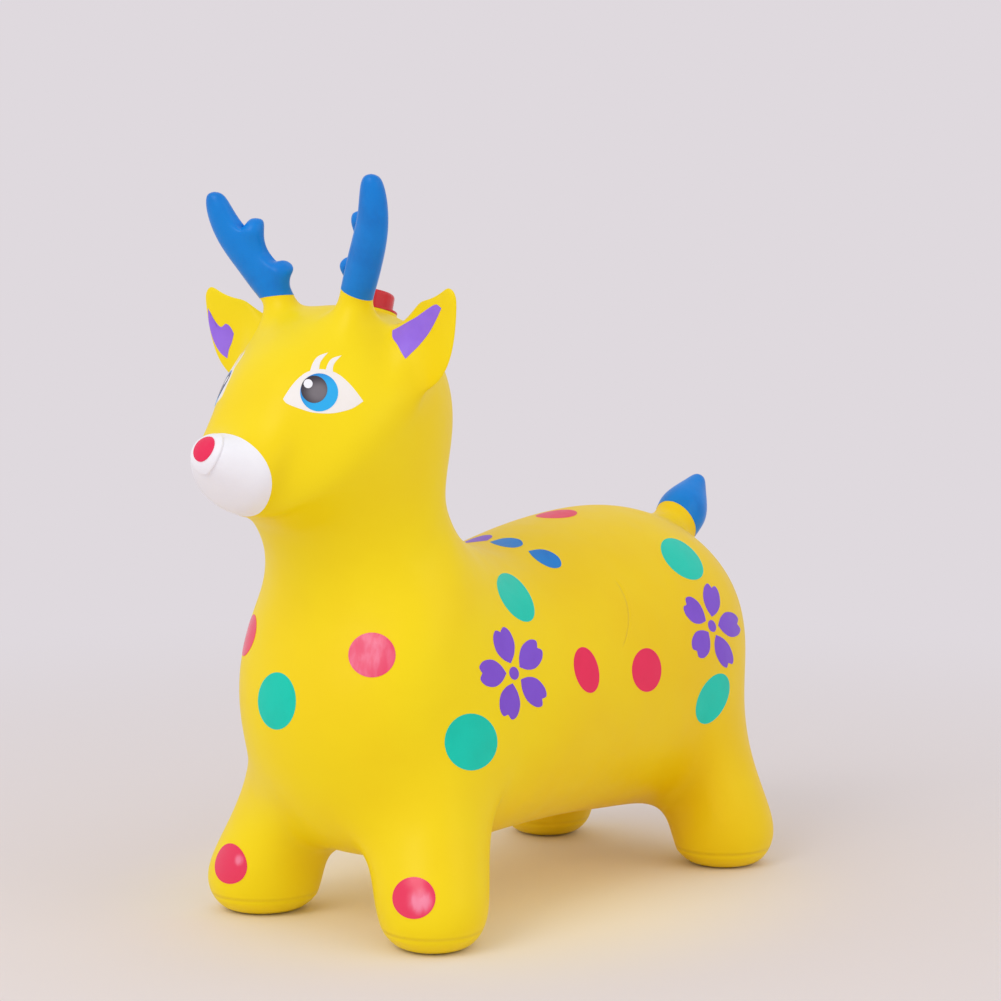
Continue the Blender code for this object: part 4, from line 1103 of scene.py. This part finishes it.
class DeerStage(bpy.types.PropertyGroup):
    key_power: bpy.props.FloatProperty(
        name="Key light", description="Power of the soft light from the front left", unit="POWER",
        default=20,
    )
    fill_power: bpy.props.FloatProperty(
        name="Fill light", description="Power of the soft light from the right", unit="POWER",
        default=6.5,
    )
    sky: bpy.props.FloatProperty(
        name="Room light", description="Strength of the light from all around", default=0.77, min=0
    )
    floor: colour_setting("Floor", "Colour of the floor", 233, 224, 225)
    # Painted light: the floor below the deer is painted warmer and lighter, as light bounced off the yellow vinyl
    floor_painted_bounce: colour_setting("Floor below", "Colour of the floor below the deer", 254, 243, 220)
    backdrop: colour_setting("Backdrop", "Colour behind the deer", 223, 217, 222)


class DEER_OT_skin(bpy.types.Operator):
    """Model the vinyl skin over the body, with the seats of the sound module and the air plug"""

    bl_idname = "deer.skin"
    bl_label = "Skin"

    def execute(self, context):
        chosen = context.scene.deer_skin
        mesh = bpy.data.meshes.new("vinyl_skin")
        cage = body_cage()
        bmesh.ops.recalc_face_normals(cage, faces=cage.faces)
        cage.to_mesh(mesh)
        cage.free()
        skin = bpy.data.objects.new("vinyl_skin", mesh)
        context.scene.collection.objects.link(skin)
        subdivide(skin, 1)
        ends = [v.co.y for v in skin.data.vertices]
        shift = (CAD_BOX[0][1] + CAD_BOX[1][1] - min(ends) - max(ends)) / 2
        for vertex in skin.data.vertices:
            vertex.co.y += shift
        subdivide(skin, 2)
        tilt = (-math.atan2(MODULE_AXIS.y, MODULE_AXIS.z), 0, 0)
        for cuts, seat, turn in ((MODULE_CUTS, MODULE_SEAT, tilt), (VALVE_CUTS, VALVE, (0, 0, 0))):
            axis = Vector((0, 0, 1))
            axis.rotate(Euler(turn))
            for operation, radius, low, high in cuts:
                place = seat + axis * (low + high) / 2
                clear_selection()
                bpy.ops.mesh.primitive_cylinder_add(
                    vertices=96, radius=radius, depth=high - low, location=place, rotation=turn
                )
                tool = bpy.context.object
                apply_modifier(skin, "BOOLEAN", operation=operation, object=tool, solver="EXACT")
                bpy.data.objects.remove(tool)
        vinyl = satin_vinyl("yellow_vinyl", chosen.colour, chosen.shade, chosen.roughness)
        add_flank_crease(vinyl)
        complete(skin, vinyl, SKIN_EDGE_ANGLE)
        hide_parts("body_shell")
        return {"FINISHED"}


class DEER_OT_muzzle(bpy.types.Operator):
    """Paint the muzzle white and set the pink nose on its pad"""

    bl_idname = "deer.muzzle"
    bl_label = "Muzzle and nose"

    def execute(self, context):
        chosen = context.scene.deer_paint
        piece = sheared_copy("muzzle_paint", [MUZZLE_EDGE, (Z * CHIN_HEIGHT, Z)])
        white = sprayed_paint("white_paint", chosen.white, srgb(244, 242, 249))
        coat(piece, white)
        pink = sprayed_paint("nose_paint", chosen.pink, srgb(232, 44, 84), 0.25)
        facing = NOSE_FACE.normalized()
        tree = skin_tree()
        pad = film(cast(tree, ring(NOSE_SEAT, facing, chosen.pad), -facing), tree)
        pad.name = "nose_pad"
        lay(pad, chosen.pad_height, chosen.pad_height * 3, False)
        subdivide(pad, 2)
        complete(pad, white, SMOOTH_ALL_ROUND)
        nose = cast(skin_tree("nose_pad"), ring(NOSE_SEAT, facing, chosen.nose), -facing)
        paint("nose_paint", [nose], pink, 3, False, "nose_pad")
        return {"FINISHED"}


class DEER_OT_antlers(bpy.types.Operator):
    """Paint the antlers and the tip of the tail blue"""

    bl_idname = "deer.antlers"
    bl_label = "Antlers and tail"

    def execute(self, context):
        chosen = context.scene.deer_paint
        blue = sprayed_paint("blue_paint", chosen.blue, srgb(8, 104, 194), 0.33)
        horns = []
        for side, edge in ANTLER_EDGES.items():
            mirror = Vector((side, 1, 1))
            cuts = [edge, tuple(v * mirror for v in EAR_LIMIT), (Vector(), X * side)]
            horns.append(sheared_copy("antler", cuts))
        coat(join("antler_paint", horns), blue)
        coat(sheared_copy("tail_paint", [TAIL_EDGE, (Z * TAIL_ROOT, Z)]), blue)
        return {"FINISHED"}


class DEER_OT_ears(bpy.types.Operator):
    """Paint the purple patches in the ears"""

    bl_idname = "deer.ears"
    bl_label = "Ear patches"

    def execute(self, context):
        chosen = context.scene.deer_paint
        purple = sprayed_paint("purple_paint", chosen.ear, srgb(144, 98, 228))
        tree = skin_tree()
        outlines = []
        for curves in EAR_PATCHES:
            points = [Vector((x, BEFORE_EARS, z)) for x, z in cornered(curves)]
            outlines.append(cast(tree, points, Y))
        paint("ear_paint", outlines, purple, mirrored=False)
        return {"FINISHED"}


class DEER_OT_eyes(bpy.types.Operator):
    """Paint the eyes: white with lashes, iris, pupil and glint"""

    bl_idname = "deer.eyes"
    bl_label = "Eyes"

    def execute(self, context):
        chosen = context.scene.deer_paint
        tree = skin_tree()
        white = sprayed_paint("eye_white_paint", chosen.eye_white, srgb(238, 229, 222))
        paint("eye_white", [cornered(EYE_WHITE)], white)
        lashes = join("eye_lashes", [lash(edges, tree) for edges in LASHES])
        lift = chosen.lift * LASH_LAYER
        lay(lashes, lift, lift + chosen.thickness, True)
        complete(lashes, white)
        iris = eye_paint("iris_paint", chosen.iris, chosen.iris_edge, IRIS_LIGHT)
        paint("eye_iris", [oval(*EYE_IRIS)], iris, layer=2)
        pupil = eye_paint("pupil_paint", chosen.pupil, chosen.pupil_edge, PUPIL_LIGHT)
        paint("eye_pupil", [oval(*EYE_PUPIL)], pupil, layer=3)
        glint = sprayed_paint("glint_paint", chosen.white, srgb(240, 240, 246))
        paint("eye_glint", [oval(*EYE_GLINT, SMALL_OVAL_POINTS)], glint, layer=4)
        return {"FINISHED"}


class DEER_OT_marks(bpy.types.Operator):
    """Paint the round marks, the flowers and the saddle"""

    bl_idname = "deer.marks"
    bl_label = "Marks"

    def execute(self, context):
        chosen = context.scene.deer_paint
        pink = sprayed_paint("pink_paint", chosen.pink, srgb(232, 40, 84), 0.34)
        paint("pink_marks", [oval(*mark) for mark in PINK_MARKS], pink)
        tree = skin_tree()
        far_breast = [p * Vector((-1, 1, 1)) for p in sights(tree, oval(*FAR_BREAST_MARK))]
        seat, facing = sight(tree, *FAR_FOOT_SEAT)
        far_foot = cast(tree, ring(seat, facing, FAR_FOOT_RADIUS, FAR_FOOT_STRETCH), -facing)
        front = [oval(*FOOT_MARK), far_foot, oval(*BREAST_MARK), far_breast]
        # The front marks' pink carries painted reflections of the light
        glossy = glossy_paint_with_painted_gleams("glossy_pink_paint", chosen.pink, chosen.painted_gleam, tree)
        paint("front_marks", front, glossy, layer=2, mirrored=False)
        across, along, radius = SADDLE_ROUND
        spot = cast(tree, ring(Vector((across, along, ABOVE_BACK)), Z, radius), -Z)
        paint("saddle_pink", [spot], pink, mirrored=False)
        teal = sprayed_paint("teal_paint", chosen.teal, srgb(8, 198, 174), 0.38)
        paint("teal_marks", [oval(*mark) for mark in TEAL_MARKS], teal)
        paint("chest_mark", [oval(*CHEST_TEAL)], teal, mirrored=False)
        purple = sprayed_paint("flower_paint", chosen.purple, srgb(124, 74, 204), 0.38)
        paint("flowers", [shape for seat in FLOWERS for shape in flower(*seat)], purple)
        blue = sprayed_paint("drop_paint", chosen.blue, srgb(8, 104, 196), 0.33)
        paint("saddle_blue", [drop(tree, *seat) for seat in BLUE_DROPS], blue, mirrored=False)
        paint("saddle_purple", [drop(tree, *seat) for seat in PURPLE_DROPS], purple, mirrored=False)
        return {"FINISHED"}


class DEER_OT_fittings(bpy.types.Operator):
    """Finish the sound module, what is in it, and the air plug"""

    bl_idname = "deer.fittings"
    bl_label = "Fittings"

    def execute(self, context):
        finishes = {
            "white_vinyl": satin_vinyl("plug_white", srgb(236, 236, 232), srgb(226, 226, 220), 0.42),
            "bright_metal": plated_metal("bright_metal", srgb(216, 216, 220), 0.26),
        }
        for slot, name, colour, shade, roughness in PLASTICS:
            finishes[slot] = moulded_plastic(name, srgb(*colour), srgb(*shade), roughness)
        slots = {row["node"]: row["material_slot"] for row in frame["record"]["subparts"]}
        for name, node in frame["nodes"].items():
            if name == "body_shell":
                continue
            for slot in node.material_slots:
                slot.material = finishes[slots[name]].owner
        return {"FINISHED"}


class DEER_OT_stage(bpy.types.Operator):
    """Lay the floor, set the lights, the room and the camera"""

    bl_idname = "deer.stage"
    bl_label = "Stage"

    def execute(self, context):
        chosen = context.scene.deer_stage
        scene = context.scene
        scene.view_settings.view_transform = "Standard"
        clear_selection()
        bpy.ops.mesh.primitive_circle_add(vertices=128, radius=FLOOR_RADIUS, fill_type="NGON")
        floor = bpy.context.object
        floor.name = "floor"
        paper = finish("floor_paper", chosen.floor, 0.9, Specular_IOR_Level=0.1)
        seen = seen_rays(paper)
        out = paper.distance((0, 0, 0))
        far = out.clipped(*FLOOR_FADE)
        # Painted bounce light: near the deer the floor takes a warmer, lighter colour
        paper.shade(Base_Color=paper.mix(out.clipped(*FLOOR_PAINTED_BOUNCE), chosen.floor_painted_bounce, chosen.floor))
        glow = paper.node("ShaderNodeEmission", values={"Color": (*chosen.backdrop, 1), "Strength": 1})
        lit = Value(paper, paper.shader.outputs[0])
        both = paper.node("ShaderNodeMixShader", values={0: seen * far, 1: lit, 2: glow})
        paper.feed(paper.tree.nodes["Material Output"].inputs["Surface"], both)
        floor.data.materials.append(paper.owner)
        world = bpy.data.worlds.new("room")
        scene.world = world
        room = Look(world)
        room.tree.nodes.clear()
        plain = room.node("ShaderNodeBackground", values={"Color": (1, 1, 1, 1), "Strength": chosen.sky})
        shown = room.node("ShaderNodeBackground", values={"Color": (*chosen.backdrop, 1), "Strength": 1})
        both = room.node("ShaderNodeMixShader", values={0: seen_rays(room), 1: plain, 2: shown})
        output = room.tree.nodes.new("ShaderNodeOutputWorld")
        room.feed(output.inputs["Surface"], both)
        for name, size, place in LAMPS:
            turn = (LAMP_AIM - place).to_track_quat("-Z", "Y").to_euler()
            clear_selection()
            bpy.ops.object.light_add(type="AREA", location=place, rotation=turn)
            light = bpy.context.object
            light.name = name + "_light"
            light.data.size = size
            light.data.energy = getattr(chosen, name + "_power")
        clear_selection()
        bpy.ops.object.camera_add(location=VIEW_PLACE, rotation=VIEW_TURN)
        camera = bpy.context.object
        camera.data.sensor_width = SENSOR_WIDTH
        camera.data.lens = FOCAL * SENSOR_WIDTH / PICTURE_SIDE
        camera.data.clip_end = 50
        scene.camera = camera
        return {"FINISHED"}


def seen_rays(look):
    """1 for rays from the eye, a mirror or glass, 0 for the rest."""
    total = 0
    for output in ("Is Camera Ray", "Is Glossy Ray", "Is Transmission Ray"):
        total = look.node("ShaderNodeLightPath", output=output) + total
    return total.clipped(0, 1)


OPERATORS = (
    DEER_OT_skin,
    DEER_OT_muzzle,
    DEER_OT_antlers,
    DEER_OT_ears,
    DEER_OT_eyes,
    DEER_OT_marks,
    DEER_OT_fittings,
    DEER_OT_stage,
)


class DEER_PT_panel(bpy.types.Panel):
    """Settings of the deer and the steps that make it"""

    bl_idname = "DEER_PT_panel"
    bl_label = "Bouncy deer"
    bl_space_type = "VIEW_3D"
    bl_region_type = "UI"
    bl_category = "Deer"

    def draw(self, context):
        for settings in (context.scene.deer_skin, context.scene.deer_paint, context.scene.deer_stage):
            box = self.layout.box()
            for name in settings.__annotations__:
                box.prop(settings, name)
        for operator in OPERATORS:
            self.layout.operator(operator.bl_idname)


GROUPS = {"deer_skin": DeerSkin, "deer_paint": DeerPaint, "deer_stage": DeerStage}


def register():
    for group in (*GROUPS.values(), *OPERATORS, DEER_PT_panel):
        bpy.utils.register_class(group)
    for name, group in GROUPS.items():
        setattr(bpy.types.Scene, name, bpy.props.PointerProperty(type=group))


def unregister():
    for name in GROUPS:
        delattr(bpy.types.Scene, name)
    for group in (DEER_PT_panel, *reversed(OPERATORS), *GROUPS.values()):
        bpy.utils.unregister_class(group)


def main():
    register()
    for operator in OPERATORS:
        name = operator.bl_idname.split(".")[1]
        getattr(bpy.ops.deer, name)()


if __name__ == "__main__":
    main()
